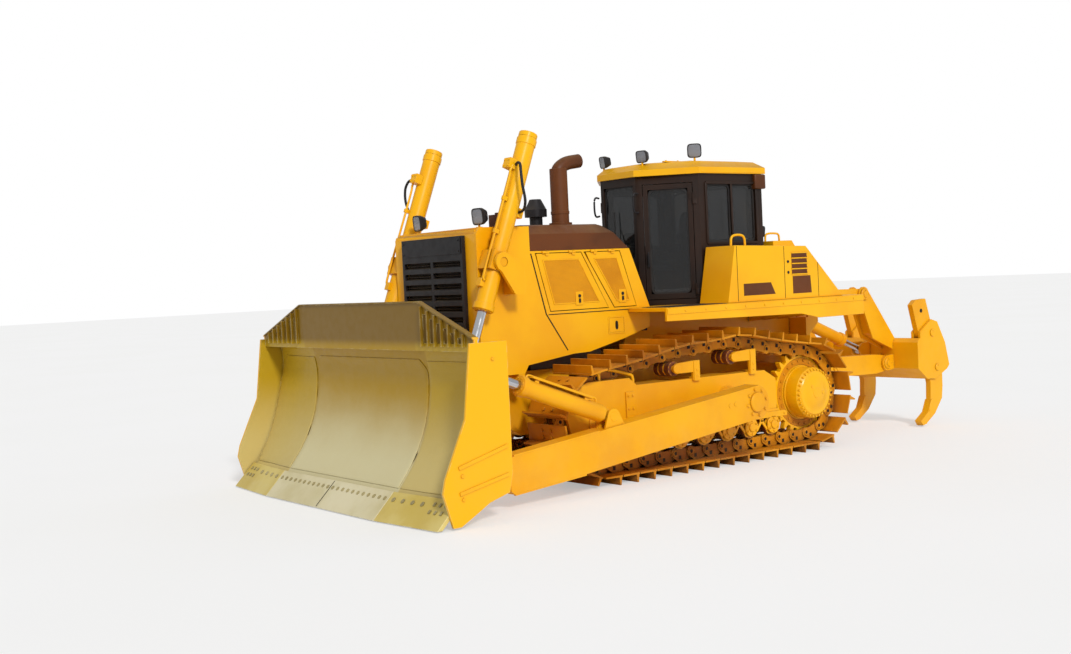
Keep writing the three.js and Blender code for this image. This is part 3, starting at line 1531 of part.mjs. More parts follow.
function workEquipment() {
  const group = new THREE.Group();
  group.add(named("blade", bladeBody(), paint), named("cutting_edge", cuttingEdge(), wornSteel));
  const tiltRod = rod(TILT_ROD_RADIUS, 62, TILT_ROD_LENGTH, distance(TILT_EAR, TILT_EYE));
  const liftRod = rod(LIFT_ROD_RADIUS, 75, LIFT_ROD_LENGTH, distance(LIFT_YOKE, LIFT_EYE));
  SIDES.forEach(([word, side]) => {
    group.add(
      named(`end_bit_${word}`, endBit(side), wornSteel),
      named(`push_arm_${word}`, pushArm(side), paint),
      laid(named(`tilt_barrel_${word}`, tiltBarrel(), paint), side * TILT_X, TILT_EAR, TILT_EYE),
      laid(named(`tilt_rod_${word}`, tiltRod, chrome), side * TILT_X, TILT_EAR, TILT_EYE),
      laid(named(`lift_rod_${word}`, liftRod, chrome), side * LIFT_X, LIFT_YOKE, LIFT_EYE),
    );
    const lift = laid(named(`lift_barrel_${word}`, liftBarrel(), paint), side * LIFT_X, LIFT_YOKE, LIFT_EYE);
    lift.scale.x = side;
    group.add(lift);
  });
  return group;
}

function ripper() {
  const group = new THREE.Group();
  const reach = distance(RIPPER_CYLINDER_FOOT, RIPPER_CYLINDER_EYE);
  const ends = [RIPPER_CYLINDER_FOOT, RIPPER_CYLINDER_EYE];
  group.add(named("ripper_arms", ripperArms(), paint), named("ripper_beam", ripperBeam(), paint));
  ["left", "middle", "right"].forEach((word, i) => {
    group.add(named(`ripper_shank_${word}`, shank(SHANK_X[i]), paint));
  });
  SIDES.forEach(([word, side]) => {
    const x = side * RIPPER_CYLINDER_X;
    group.add(
      named(`ripper_link_${word}`, ripperLink(side), paint),
      laid(named(`ripper_barrel_${word}`, ripperBarrel(), paint), x, ...ends),
      laid(named(`ripper_rod_${word}`, rod(RIPPER_ROD_RADIUS, 62, 720, reach), chrome), x, ...ends),
    );
  });
  return group;
}

const bulldozer = new THREE.Group();
bulldozer.add(tractor(), cab(), workEquipment(), ripper());
// The origin lies on the ground at the middle of the machine's length.
const extent = new THREE.Box3().setFromObject(bulldozer);
bulldozer.position.y = -(extent.min.y + extent.max.y) / 2;

export default bulldozer;
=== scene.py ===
"""Looks of a crawler bulldozer with a semi-U blade and a three-shank ripper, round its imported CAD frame.

Every length is in metres. Shapes are worked out in the machine's drawing frame, and `piece` moves
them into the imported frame, which lies SHIFT further back along Y.
"""

import json
import math

import bmesh
import bpy
import numpy as np
from mathutils import Matrix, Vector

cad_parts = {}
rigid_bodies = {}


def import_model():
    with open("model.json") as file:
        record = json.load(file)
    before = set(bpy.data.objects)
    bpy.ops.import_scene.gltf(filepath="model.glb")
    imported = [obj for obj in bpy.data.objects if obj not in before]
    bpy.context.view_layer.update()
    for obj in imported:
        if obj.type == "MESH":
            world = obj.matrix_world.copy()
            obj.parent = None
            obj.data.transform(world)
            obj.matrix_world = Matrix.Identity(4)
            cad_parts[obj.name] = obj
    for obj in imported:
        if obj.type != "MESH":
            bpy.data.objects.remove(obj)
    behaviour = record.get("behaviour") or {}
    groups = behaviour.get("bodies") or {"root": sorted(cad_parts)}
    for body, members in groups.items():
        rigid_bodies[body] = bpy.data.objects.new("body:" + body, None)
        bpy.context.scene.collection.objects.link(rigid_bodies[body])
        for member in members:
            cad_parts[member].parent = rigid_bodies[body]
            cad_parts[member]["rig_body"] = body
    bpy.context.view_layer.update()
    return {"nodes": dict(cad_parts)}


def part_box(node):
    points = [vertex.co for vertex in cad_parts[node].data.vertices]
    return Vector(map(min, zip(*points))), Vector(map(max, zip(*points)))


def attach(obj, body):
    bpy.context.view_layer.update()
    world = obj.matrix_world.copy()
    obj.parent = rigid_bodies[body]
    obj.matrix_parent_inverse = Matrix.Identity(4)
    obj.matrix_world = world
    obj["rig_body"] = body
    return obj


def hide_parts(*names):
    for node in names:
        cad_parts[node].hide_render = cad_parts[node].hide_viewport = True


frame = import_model()

GUARD_FRONT = -2.780
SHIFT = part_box("radiator_guard")[0].y - GUARD_FRONT
SIDES = (("left", 1), ("right", -1))
BLADE_HALF, BLADE_INNER, SEAM_X = 2.030, 2.000, 1.080
BLADE_BACK = -3.440 + SHIFT
OUT, UP, AHEAD = (1, 0, 0), np.array((0.0, 0.0, 1.0)), (0, -1, 0)
CAD = frame["nodes"]
BODY_OF = {node: CAD[node]["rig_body"] for node in CAD}

# ---------------------------------------------------------------- camera, lamps and floor
CAMERA_PLACE = np.array((11.194, -10.051, 2.093))
CAMERA_YAW = math.radians(52.731)
CAMERA_PITCH = math.radians(2.117)
CAMERA_ROLL = math.radians(-2.723)
CAMERA_LENS = 43.89  # mm, on a sensor 36 mm wide


def aim_camera():
    """Places the camera: its back axis from yaw and pitch, then its right and up axes turned by the
    roll."""
    back = np.array(
        (
            math.sin(CAMERA_YAW) * math.cos(CAMERA_PITCH),
            -math.cos(CAMERA_YAW) * math.cos(CAMERA_PITCH),
            math.sin(CAMERA_PITCH),
        )
    )
    level = np.cross(-back, (0, 0, 1))
    level /= np.linalg.norm(level)
    upright = np.cross(level, -back)
    right = math.cos(CAMERA_ROLL) * level + math.sin(CAMERA_ROLL) * upright
    up = -math.sin(CAMERA_ROLL) * level + math.cos(CAMERA_ROLL) * upright
    turn = np.eye(4)
    turn[:3, :3] = np.column_stack((right, up, back))
    turn[:3, 3] = CAMERA_PLACE + (0, SHIFT, 0)
    camera = bpy.data.objects.new("camera", bpy.data.cameras.new("camera"))
    camera.data.lens = CAMERA_LENS
    camera.data.sensor_width = 36
    camera.data.sensor_fit = "HORIZONTAL"
    camera.data.clip_end = 500
    camera.matrix_world = Matrix(turn.tolist())
    bpy.context.scene.collection.objects.link(camera)
    bpy.context.scene.camera = camera


SUN_TOWARDS = (-0.82, 0.24, -0.56)
SUN_STRENGTH = 1.86
SKY_STRENGTH = 0.52


def light_scene():
    """A wide soft sun from the machine's front left, and a pale sky that the camera sees as white."""
    lamp = bpy.data.lights.new("sun", "SUN")
    lamp.energy = SUN_STRENGTH
    lamp.angle = math.radians(9)
    sun = bpy.data.objects.new("sun", lamp)
    towards = np.array(SUN_TOWARDS) / np.linalg.norm(SUN_TOWARDS)
    side = np.cross((0, 0, 1), towards)
    side /= np.linalg.norm(side)
    turn = np.eye(4)
    turn[:3, :3] = np.column_stack((side, np.cross(-towards, side), -towards))
    sun.matrix_world = Matrix(turn.tolist())
    bpy.context.scene.collection.objects.link(sun)

    world = bpy.data.worlds.new("sky")
    world.use_nodes = True
    tree = world.node_tree
    tree.nodes.clear()
    ray = node(tree, "ShaderNodeLightPath")
    seen = node(
        tree,
        "ShaderNodeMath",
        {0: ray.outputs["Is Camera Ray"], 1: ray.outputs["Is Transmission Ray"]},
        operation="MAXIMUM",
    )
    levels = {"Value": seen.outputs[0], "To Min": SKY_STRENGTH, "To Max": 1.0}
    strength = node(tree, "ShaderNodeMapRange", levels).outputs[0]
    sky = node(tree, "ShaderNodeBackground", {"Color": (1, 1, 1, 1), "Strength": strength})
    node(tree, "ShaderNodeOutputWorld", {"Surface": sky.outputs[0]})
    bpy.context.scene.world = world
    bpy.context.scene.view_settings.view_transform = "Standard"


# ---------------------------------------------------------------- node helpers
def srgb(red, green, blue):
    """A screen colour, 0 to 255, as the linear colour that a shader takes."""
    share = np.array((red, green, blue)) / 255
    linear = np.where(share <= 0.04045, share / 12.92, ((share + 0.055) / 1.055) ** 2.4)
    return (*linear.tolist(), 1.0)


def node(tree, kind, inputs=None, **settings):
    """A new node in a tree: its settings, then each input as a constant or a link."""
    made = tree.nodes.new(kind)
    for name, value in settings.items():
        setattr(made, name, value)
    for socket, value in (inputs or {}).items():
        if isinstance(value, bpy.types.NodeSocket):
            tree.links.new(value, made.inputs[socket])
        else:
            made.inputs[socket].default_value = value
    return made


def blended(tree, factor, first, second):
    """A colour mix of two colours by a factor; returns the colour socket."""
    inputs = {0: factor, 6: first, 7: second}
    return node(tree, "ShaderNodeMix", inputs, data_type="RGBA").outputs[2]


def product(tree, first, second, operation="MULTIPLY"):
    """Two values multiplied, or put together by another operation, held between 0 and 1."""
    math_node = node(
        tree, "ShaderNodeMath", {0: first, 1: second}, operation=operation, use_clamp=True
    )
    return math_node.outputs[0]


def ranged(tree, value, low, high, to_low=0.0, to_high=1.0):
    """A value taken smoothly from one range to another."""
    ends = {"From Min": low, "From Max": high, "To Min": to_low, "To Max": to_high}
    made = node(
        tree, "ShaderNodeMapRange", {"Value": value, **ends}, interpolation_type="SMOOTHSTEP"
    )
    return made.outputs[0]


def noise(tree, place, scale, detail=3.0, roughness=0.55):
    """Noise over object coordinates."""
    inputs = {"Vector": place, "Scale": scale, "Detail": detail, "Roughness": roughness}
    return node(tree, "ShaderNodeTexNoise", inputs).outputs[0]


def new_group(name, inputs, outputs):
    """An empty node group with float inputs (name: default) and outputs; returns it with its two
    ends."""
    group = bpy.data.node_groups.new(name, "ShaderNodeTree")
    for socket, default in inputs.items():
        made = group.interface.new_socket(socket, in_out="INPUT", socket_type="NodeSocketFloat")
        made.default_value = default
    for socket in outputs:
        group.interface.new_socket(socket, in_out="OUTPUT", socket_type="NodeSocketFloat")
    return group, group.nodes.new("NodeGroupInput"), group.nodes.new("NodeGroupOutput")


def edge_wear_group():
    """Mask of rubbed edges that also carry painted edge highlights: where the rounded normal parts from
    the flat one, broken up by noise.
    """
    group, given, out = new_group("edge_wear", {"Radius": 0.008, "Breakup": 9.0}, ("Mask",))
    flat = node(group, "ShaderNodeNewGeometry").outputs["Normal"]
    rounded = node(group, "ShaderNodeBevel", {"Radius": given.outputs["Radius"]}, samples=4)
    agree = node(
        group, "ShaderNodeVectorMath", {0: flat, 1: rounded.outputs[0]}, operation="DOT_PRODUCT"
    )
    edge = ranged(group, agree.outputs["Value"], 0.985, 0.86)
    place = node(group, "ShaderNodeTexCoord").outputs["Object"]
    broken = ranged(group, noise(group, place, given.outputs["Breakup"], 6.0), 0.40, 0.62)
    group.links.new(product(group, edge, broken), out.inputs["Mask"])
    return group


def dust_group():
    """Mask of settled dust: on faces that look up, and low on the machine, in noisy patches."""
    group, given, out = new_group("settled_dust", {"Amount": 0.4, "Scale": 2.4}, ("Mask",))
    where = node(group, "ShaderNodeTexCoord")
    facing = node(group, "ShaderNodeSeparateXYZ", {0: where.outputs["Normal"]}).outputs["Z"]
    height = node(group, "ShaderNodeSeparateXYZ", {0: where.outputs["Object"]}).outputs["Z"]
    upward = ranged(group, facing, 0.25, 0.95)
    low_down = ranged(group, height, 1.1, 0.1, 0.0, 0.55)
    patches = ranged(
        group, noise(group, where.outputs["Object"], given.outputs["Scale"], 8.0), 0.34, 0.72
    )
    both = product(group, upward, low_down, "MAXIMUM")
    amount = product(group, product(group, both, patches), given.outputs["Amount"])
    group.links.new(amount, out.inputs["Mask"])
    return group


def crevice_group():
    """Mask of painted shade in corners: where little of the surroundings is open, broken up by noise."""
    group, given, out = new_group("crevice_grime", {"Reach": 0.06, "Amount": 0.5}, ("Mask",))
    closed = node(
        group, "ShaderNodeAmbientOcclusion", {"Distance": given.outputs["Reach"]}, samples=4
    )
    shut = ranged(group, closed.outputs["AO"], 0.80, 0.25)
    place = node(group, "ShaderNodeTexCoord").outputs["Object"]
    patches = ranged(group, noise(group, place, 6.0, 6.0), 0.2, 0.6, 0.45, 1.0)
    amount = product(group, product(group, shut, patches), given.outputs["Amount"])
    group.links.new(amount, out.inputs["Mask"])
    return group


def surface_grain_group():
    """Height of sprayed paint or cast skin: fine orange peel over slow waves of the plate."""
    group, given, out = new_group("surface_grain", {"Fine": 240.0, "Slow": 3.0}, ("Height",))
    place = node(group, "ShaderNodeTexCoord").outputs["Object"]
    fine = noise(group, place, given.outputs["Fine"], 2.0)
    slow = noise(group, place, given.outputs["Slow"], 2.0)
    height = node(group, "ShaderNodeMath", {0: fine, 1: 0.25, 2: slow}, operation="MULTIPLY_ADD")
    group.links.new(height.outputs[0], out.inputs["Height"])
    return group


def weave_group():
    """Height of a plain weave: two sets of threads crossing, each a wave over object coordinates."""
    group, given, out = new_group("cloth_weave", {"Threads": 90.0}, ("Height",))
    place = node(group, "ShaderNodeTexCoord").outputs["Object"]
    waves = [
        node(
            group,
            "ShaderNodeTexWave",
            {"Vector": place, "Scale": given.outputs["Threads"], "Distortion": 0.6},
            bands_direction=direction,
        ).outputs["Fac"]
        for direction in ("X", "DIAGONAL")
    ]
    group.links.new(product(group, waves[0], waves[1]), out.inputs["Height"])
    return group


GROUPS = {
    "wear": edge_wear_group(),
    "dust": dust_group(),
    "grime": crevice_group(),
    "grain": surface_grain_group(),
    "weave": weave_group(),
}


def bent_normal(tree, shader, height, strength, distance):
    """Bends a shader's normal by a height."""
    inputs = {"Height": height, "Strength": strength, "Distance": distance}
    tree.links.new(node(tree, "ShaderNodeBump", inputs).outputs[0], shader.inputs["Normal"])


def effect(tree, name, **values):
    """A shared effect placed in a material with its own values; returns its first output."""
    made = node(tree, "ShaderNodeGroup", node_tree=GROUPS[name])
    for socket, value in values.items():
        made.inputs[socket].default_value = value
    return made.outputs[0]


def new_material(name, **shader_constants):
    """A material with one Principled shader, whose constants sit on its own sockets."""
    material = bpy.data.materials.new(name)
    material.use_nodes = True
    tree = material.node_tree
    tree.nodes.clear()
    shader = node(tree, "ShaderNodeBsdfPrincipled", shader_constants)
    node(tree, "ShaderNodeOutputMaterial", {"Surface": shader.outputs[0]})
    return material, tree, shader


DUST = srgb(196, 170, 116)
# Colour of the painted shade laid into corners and crevices.
CREVICE_SHADE = srgb(70, 44, 18)


def finish_surface(name, colour, drift, rough, bare_and_highlight, constants=None, paint=None, **amounts):
    """A worked metal or plastic surface: colour drifting slowly to a second one, then painted shade in
    crevices, dust, and worn edges with painted edge highlights laid over it, with a grain that bends
    its normal. amounts sets how much of each."""
    material, tree, shader = new_material(name, **(constants or {}))
    place = node(tree, "ShaderNodeTexCoord").outputs["Object"]
    drifting = ranged(tree, noise(tree, place, amounts.get("drift_scale", 1.3), 5.0), 0.38, 0.66)
    base = paint(tree) if paint else colour
    base = blended(tree, drifting, base, drift if paint is None else base)
    # Painted shade: corners and crevices, found by ambient occlusion, darken towards a shade colour.
    reach, grime = amounts.get("reach", 0.06), amounts["grime"]
    mask = effect(tree, "grime", Reach=reach, Amount=grime)
    base = blended(tree, mask, base, amounts.get("grime_colour", CREVICE_SHADE))
    dust = effect(tree, "dust", Amount=amounts["dust"])
    base = blended(tree, dust, base, DUST)
    # Worn edges with painted edge highlights: edges found by the bevel normal turn to a paler tint.
    wear = effect(tree, "wear", Radius=amounts.get("edge", 0.007))
    wear = product(tree, wear, amounts["wear"])
    base = blended(tree, wear, base, bare_and_highlight)
    tree.links.new(base, shader.inputs["Base Color"])
    smudge = ranged(tree, noise(tree, place, 11.0, 6.0), 0.3, 0.7, rough - 0.07, rough + 0.09)
    dusty = product(tree, dust, 0.5)
    tree.links.new(product(tree, smudge, dusty, "ADD"), shader.inputs["Roughness"])
    height = effect(tree, "grain", Fine=amounts.get("fine", 240.0))
    bent_normal(tree, shader, height, amounts.get("bump", 0.12), 0.004)
    return material


YELLOW = srgb(250, 184, 0)
# The blade's face: pale where scoured low down, then painted shade of its forward face: olive high up, a
# lighter olive in the outer thirds and dark on the spill guard.
MOLDBOARD_LOW = srgb(214, 204, 158)
MOLDBOARD_HIGH_SHADE = srgb(176, 138, 4)
MOLDBOARD_GUARD_SHADE = srgb(128, 96, 6)
MOLDBOARD_OUTER_SHADE = srgb(196, 164, 44)


def moldboard_colour(tree):
    """Paint of the blade: on all that lies in front of its back plate and inside the side plates, pale
    and scoured low down, olive higher up, yellower in the outer thirds and dark on the spill guard, the
    olive and dark tones being painted shade of the forward face; enamel yellow elsewhere."""
    where = node(tree, "ShaderNodeTexCoord")
    facing = node(tree, "ShaderNodeSeparateXYZ", {0: where.outputs["Normal"]}).outputs["Y"]
    place = node(tree, "ShaderNodeSeparateXYZ", {0: where.outputs["Object"]})
    aside = node(tree, "ShaderNodeMath", {0: place.outputs["X"]}, operation="ABSOLUTE").outputs[0]
    waves = noise(tree, where.outputs["Object"], 1.6, 5.0)
    wavy = node(
        tree, "ShaderNodeMath", {0: waves, 1: 0.30, 2: place.outputs["Z"]}, operation="MULTIPLY_ADD"
    ).outputs[0]
    scoured_and_shaded = blended(tree, ranged(tree, wavy, 0.55, 1.35), MOLDBOARD_LOW, MOLDBOARD_HIGH_SHADE)
    outer = ranged(tree, aside, SEAM_X - 0.01, SEAM_X + 0.02, 0.0, 0.55)
    scoured_and_shaded = blended(tree, outer, scoured_and_shaded, MOLDBOARD_OUTER_SHADE)
    scoured_and_shaded = blended(tree, ranged(tree, place.outputs["Z"], 1.50, 1.60), scoured_and_shaded, MOLDBOARD_GUARD_SHADE)
    inside = ranged(tree, aside, BLADE_INNER + 0.012, BLADE_INNER + 0.008)
    ahead = ranged(tree, place.outputs["Y"], BLADE_BACK - 0.02, BLADE_BACK - 0.06)
    # Only faces that look forward take these colours: their olive tones are painted shade.
    forward = ranged(tree, facing, 0.45, 0.20)
    mask = product(tree, product(tree, inside, ahead), forward)
    return blended(tree, mask, YELLOW, scoured_and_shaded)


def make_materials():
    """Every finish on the machine, by name."""
    enamel = {"Coat Weight": 0.12, "Coat Roughness": 0.16, "IOR": 1.5, "Specular IOR Level": 0.28}
    # In each finish the fifth colour, a paler tint on rubbed edges, is partly a painted edge highlight.
    made = {
        "yellow": finish_surface(
            "yellow_enamel", YELLOW, srgb(244, 172, 0), 0.38, srgb(255, 206, 70), enamel,
            wear=0.45, dust=0.16, grime=0.55, reach=0.05,
        ),
        "arm_yellow": finish_surface(
            "yellow_heavy_plate", srgb(246, 177, 0), srgb(236, 162, 0), 0.46, srgb(252, 202, 74),
            enamel, wear=0.6, dust=0.22, grime=0.65, bump=0.2,
        ),
        # The blade's paint carries painted shade on its forward face above the scoured part.
        "moldboard": finish_surface(
            "scoured_blade_paint", YELLOW, YELLOW, 0.38, srgb(226, 214, 160), enamel,
            paint=moldboard_colour, wear=0.7, dust=0.10, grime=0.5, bump=0.10, edge=0.010,
        ),
        # The track's browned base, its darker brown second colour laid in by noise, and its dark crevice
        # colour are painted shade of faces that lie in shade.
        "track": finish_surface(
            "yellow_track_steel", srgb(216, 140, 6), srgb(158, 90, 8), 0.55, srgb(246, 192, 78),
            {"Specular IOR Level": 0.25}, wear=0.85, dust=0.18, grime=1.0, reach=0.13, bump=0.35,
            grime_colour=srgb(74, 30, 8), edge=0.006,
        ),
        "roller": finish_surface(
            "red_brown_roller", srgb(122, 62, 28), srgb(92, 44, 22), 0.5, srgb(168, 120, 66),
            {"IOR": 1.5}, wear=0.6, dust=0.3, grime=0.8, bump=0.3, drift_scale=7.0,
        ),
        "brown": finish_surface(
            "brown_satin_enamel", srgb(104, 55, 18), srgb(80, 42, 14), 0.46, srgb(158, 104, 56),
            {"Specular IOR Level": 0.3}, wear=0.3, dust=0.14, grime=0.3,
        ),
        "cab": finish_surface(
            "brown_black_cab_enamel", srgb(44, 26, 16), srgb(32, 20, 14), 0.44, srgb(104, 68, 42),
            {"Specular IOR Level": 0.3}, wear=0.3, dust=0.06, grime=0.25,
        ),
        "black": finish_surface(
            "black_satin_enamel", srgb(34, 31, 34), srgb(24, 23, 26), 0.46, srgb(92, 84, 76),
            {"Specular IOR Level": 0.35}, wear=0.35, dust=0.12, grime=0.2,
        ),
        "steel": finish_surface(
            "scoured_edge_steel", srgb(228, 219, 182), srgb(208, 197, 150), 0.40,
            srgb(238, 232, 204), {"IOR": 1.5}, wear=0.9, dust=0.2, grime=0.6, bump=0.25,
            edge=0.012, grime_colour=srgb(110, 94, 48),
        ),
        "end_bit": finish_surface(
            "scoured_bit_steel", srgb(220, 200, 120), srgb(204, 178, 82), 0.42,
            srgb(238, 228, 180), {"IOR": 1.5}, wear=0.9, dust=0.2, grime=0.6, bump=0.25,
            edge=0.012, grime_colour=srgb(110, 94, 48),
        ),
        "plough_bolt": finish_surface(
            "scoured_bolt_head", srgb(176, 162, 112), srgb(150, 136, 88), 0.42, srgb(212, 202, 158),
            {"IOR": 1.5}, wear=0.5, dust=0.1, grime=0.9, reach=0.03,
        ),
        "chrome": finish_surface(
            "hard_chrome", srgb(214, 216, 220), srgb(196, 199, 205), 0.16, srgb(226, 226, 226),
            {"Metallic": 1.0}, wear=0.1, dust=0.05, grime=0.2, bump=0.02,
        ),
        "iron": finish_surface(
            "cast_iron", srgb(116, 108, 98), srgb(90, 84, 78), 0.6, srgb(150, 142, 128),
            {"Metallic": 0.6}, wear=0.5, dust=0.3, grime=0.6, bump=0.5, fine=90.0,
        ),
        "rubber": finish_surface(
            "black_rubber", srgb(30, 29, 30), srgb(40, 38, 37), 0.62, srgb(66, 62, 58),
            {"IOR": 1.45}, wear=0.15, dust=0.12, grime=0.2, bump=0.2,
        ),
        # Dark colour for seams, and painted shade for holes, hollows and recesses.
        "void": finish_surface(
            "dark_recess", srgb(24, 17, 12), srgb(34, 24, 16), 0.7, srgb(44, 30, 20),
            {"IOR": 1.4}, wear=0.1, dust=0.15, grime=0.3,
        ),
        "mesh": mesh_material(),
        "glass": glass_material(),
        "lens": lens_material(),
        "cloth": cloth_material(),
    }
    return made


def mesh_material():
    """Perforated door panel: rows of small holes painted dark as the shade inside them, over slightly
    darker yellow enamel.
    """
    material, tree, shader = new_material("perforated_yellow_panel", **{"Specular IOR Level": 0.25})
    place = node(tree, "ShaderNodeTexCoord").outputs["Object"]
    holes = node(
        tree, "ShaderNodeTexVoronoi", {"Vector": place, "Scale": 85.0, "Randomness": 0.0}
    )
    hole = ranged(tree, holes.outputs["Distance"], 0.30, 0.22)
    drift = ranged(tree, noise(tree, place, 2.0, 4.0), 0.3, 0.7)
    paint = blended(tree, drift, srgb(232, 156, 4), srgb(214, 138, 4))
    paint = blended(tree, effect(tree, "dust", Amount=0.3), paint, DUST)
    # The holes' dark brown is painted shade.
    colour = blended(tree, product(tree, hole, 0.75), paint, srgb(104, 62, 14))
    tree.links.new(colour, shader.inputs["Base Color"])
    tree.links.new(ranged(tree, drift, 0, 1, 0.44, 0.56), shader.inputs["Roughness"])
    sunk = node(tree, "ShaderNodeMath", {0: 1.0, 1: hole}, operation="SUBTRACT")
    bent_normal(tree, shader, sunk.outputs[0], 0.5, 0.003)
    return material


def glass_material():
    """Smoked window glass with a little dust, which is rough where it lies."""
    material, tree, shader = new_material(
        "smoked_glass", **{"Transmission Weight": 0.9, "IOR": 1.45, "Specular IOR Level": 0.5}
    )
    place = node(tree, "ShaderNodeTexCoord").outputs["Object"]
    film = ranged(tree, noise(tree, place, 1.4, 2.0), 0.40, 0.80)
    colour = blended(tree, product(tree, film, 0.35), srgb(96, 98, 100), srgb(126, 116, 100))
    tree.links.new(colour, shader.inputs["Base Color"])
    tree.links.new(ranged(tree, film, 0, 1, 0.0, 0.02), shader.inputs["Roughness"])
    return material


def lens_material():
    """Ribbed lamp lens: pale glass whose colour is a painted reflection of a bright bowl behind it, with
    fine vertical flutes that band its colour as painted highlights.
    """
    coat = {"Coat Weight": 0.8, "Coat Roughness": 0.05}
    material, tree, shader = new_material("lamp_lens", **coat)
    place = node(tree, "ShaderNodeTexCoord").outputs["Object"]
    flutes = node(tree, "ShaderNodeTexWave", {"Vector": place, "Scale": 38.0})
    spots = noise(tree, place, 30.0, 2.0)
    # Light and dark bands along the flutes: painted highlights and reflection.
    colour = blended(tree, flutes.outputs["Fac"], srgb(92, 94, 102), srgb(150, 152, 158))
    tree.links.new(colour, shader.inputs["Base Color"])
    tree.links.new(ranged(tree, spots, 0.3, 0.7, 0.12, 0.25), shader.inputs["Roughness"])
    bent_normal(tree, shader, flutes.outputs["Fac"], 0.4, 0.003)
    return material


def cloth_material():
    """Woven seat cloth: crossing threads in bump, flecked colour and a soft sheen."""
    sheen = {"Sheen Weight": 0.4, "Sheen Roughness": 0.5}
    material, tree, shader = new_material("woven_seat_cloth", **sheen)
    place = node(tree, "ShaderNodeTexCoord").outputs["Object"]
    weave = effect(tree, "weave", Threads=95.0)
    flecks = ranged(tree, noise(tree, place, 420.0, 2.0), 0.4, 0.66)
    worn = ranged(tree, noise(tree, place, 5.0, 4.0), 0.45, 0.7)
    colour = blended(tree, flecks, srgb(40, 41, 46), srgb(66, 67, 72))
    colour = blended(tree, product(tree, worn, 0.4), colour, srgb(86, 84, 80))
    tree.links.new(colour, shader.inputs["Base Color"])
    tree.links.new(ranged(tree, weave, 0, 1, 0.78, 0.92), shader.inputs["Roughness"])
    bent_normal(tree, shader, weave, 0.6, 0.002)
    return material


aim_camera()
light_scene()
FINISH = make_materials()


# ---------------------------------------------------------------- surfaces
def unit(vector):
    """The vector at length 1, row by row."""
    vector = np.asarray(vector, float)
    return vector / np.linalg.norm(vector, axis=-1, keepdims=True)


def grid_faces(rows, around, closed):
    """Quads between neighbouring points of a grid that is numbered row by row."""
    i = np.arange(rows - 1)[:, None] * around
    j = np.arange(around if closed else around - 1)[None, :]
    k = (j + 1) % around
    return np.stack((i + j, i + k, i + around + k, i + around + j), -1).reshape(-1, 4).tolist()


def carried(profile, path, across, upward, scale=1.0, capped=True):
    """A profile carried along a path: point (i, j) is path_i + scale_i (a_j across_i + b_j upward_i).
    Neighbouring points make quads, and each end is closed by one face."""
    profile, path = np.asarray(profile, float), np.asarray(path, float)
    rows, around = len(path), len(profile)
    across = np.broadcast_to(np.asarray(across, float), (rows, 3))
    upward = np.broadcast_to(np.asarray(upward, float), (rows, 3))
    scale = np.broadcast_to(np.asarray(scale, float), (rows,))
    spread = profile[None, :, :1] * across[:, None] + profile[None, :, 1:] * upward[:, None]
    points = path[:, None] + scale[:, None, None] * spread
    faces = grid_faces(rows, around, True)
    if capped:
        last = (rows - 1) * around
        faces += [list(range(around))[::-1], list(range(last, last + around))]
    return points.reshape(-1, 3), faces


def circle(count, phase=0.0):
    """Points of a unit circle: cosine and sine of equally spaced angles."""
    angle = phase + np.arange(count) * 2 * np.pi / count
    return np.column_stack((np.cos(angle), np.sin(angle)))


def rounded_square(count, power, phase=0.0):
    """A square with round corners: each coordinate of a unit circle raised to a power below 1."""
    ring = circle(count, phase)
    return np.sign(ring) * np.abs(ring) ** power


def arc_points(centre, radius, start, end, count):
    """Points on a circle between two angles, in radians."""
    angle = np.linspace(start, end, count)
    return centre + radius * np.column_stack((np.cos(angle), np.sin(angle)))


def side_axes(along):
    """Two directions square to a direction and to each other."""
    along = unit(along)
    helper = (0.0, 0.0, 1.0) if abs(along[2]) < 0.9 else (1.0, 0.0, 0.0)
    across = unit(np.cross(helper, along))
    return across, np.cross(along, across)


def turned(origin, along, stations, sides=32):
    """A turned piece: a unit circle carried along an axis, its size at each (distance, radius)."""
    stations = np.asarray(stations, float)
    across, upward = side_axes(along)
    path = np.asarray(origin, float) + stations[:, :1] * unit(along)
    return carried(circle(sides), path, across, upward, np.maximum(stations[:, 1], 1e-4))


def disc(origin, along, radius, height, sides=24, round_off=0.15):
    """A short turned cap with a rounded upper edge."""
    edge = round_off * min(radius, height)
    stations = [(0, radius), (height - edge, radius), (height, radius - edge)]
    return turned(origin, along, stations, sides)


def bolt(origin, along, radius, height):
    """A hexagon head with a chamfered top, on a thin washer."""
    washer = turned(origin, along, [(0, radius * 1.35), (height * 0.18, radius * 1.35)], 12)
    stations = [(height * 0.15, radius), (height * 0.8, radius), (height, radius * 0.82)]
    return joined(washer, turned(origin, along, stations, 6))


def bolts(x, spots, radius, height, out=OUT):
    """Bolts on a face square to X, one at each (y, z)."""
    return [bolt((x, y, z), out, radius, height) for y, z in spots]


def bolt_ring(x, centre, reach, count, radius, height, start=0.0, out=OUT):
    """Bolts at equal angles on a circle round an axis along X."""
    spots = arc_points(np.asarray(centre), reach, start, start + 2 * np.pi, count + 1)[:-1]
    return bolts(x, spots, radius, height, out)


def joined(*parts):
    """Several (points, faces) as one, with the later faces renumbered."""
    points, faces, offset = [], [], 0
    for part_points, part_faces in parts:
        points.append(part_points)
        faces += [[corner + offset for corner in face] for face in part_faces]
        offset += len(part_points)
    return np.concatenate(points), faces


def bar(start, end, width, height, upward=(0, 0, 1)):
    """A rectangular bar: a rectangle carried from one point to another."""
    start, end = np.asarray(start, float), np.asarray(end, float)
    across = unit(np.cross(upward, end - start))
    lifted = unit(np.cross(end - start, across))
    half = np.array(((-1, -1), (1, -1), (1, 1), (-1, 1))) * (width / 2, height / 2)
    return carried(half, [start, end], across, lifted)


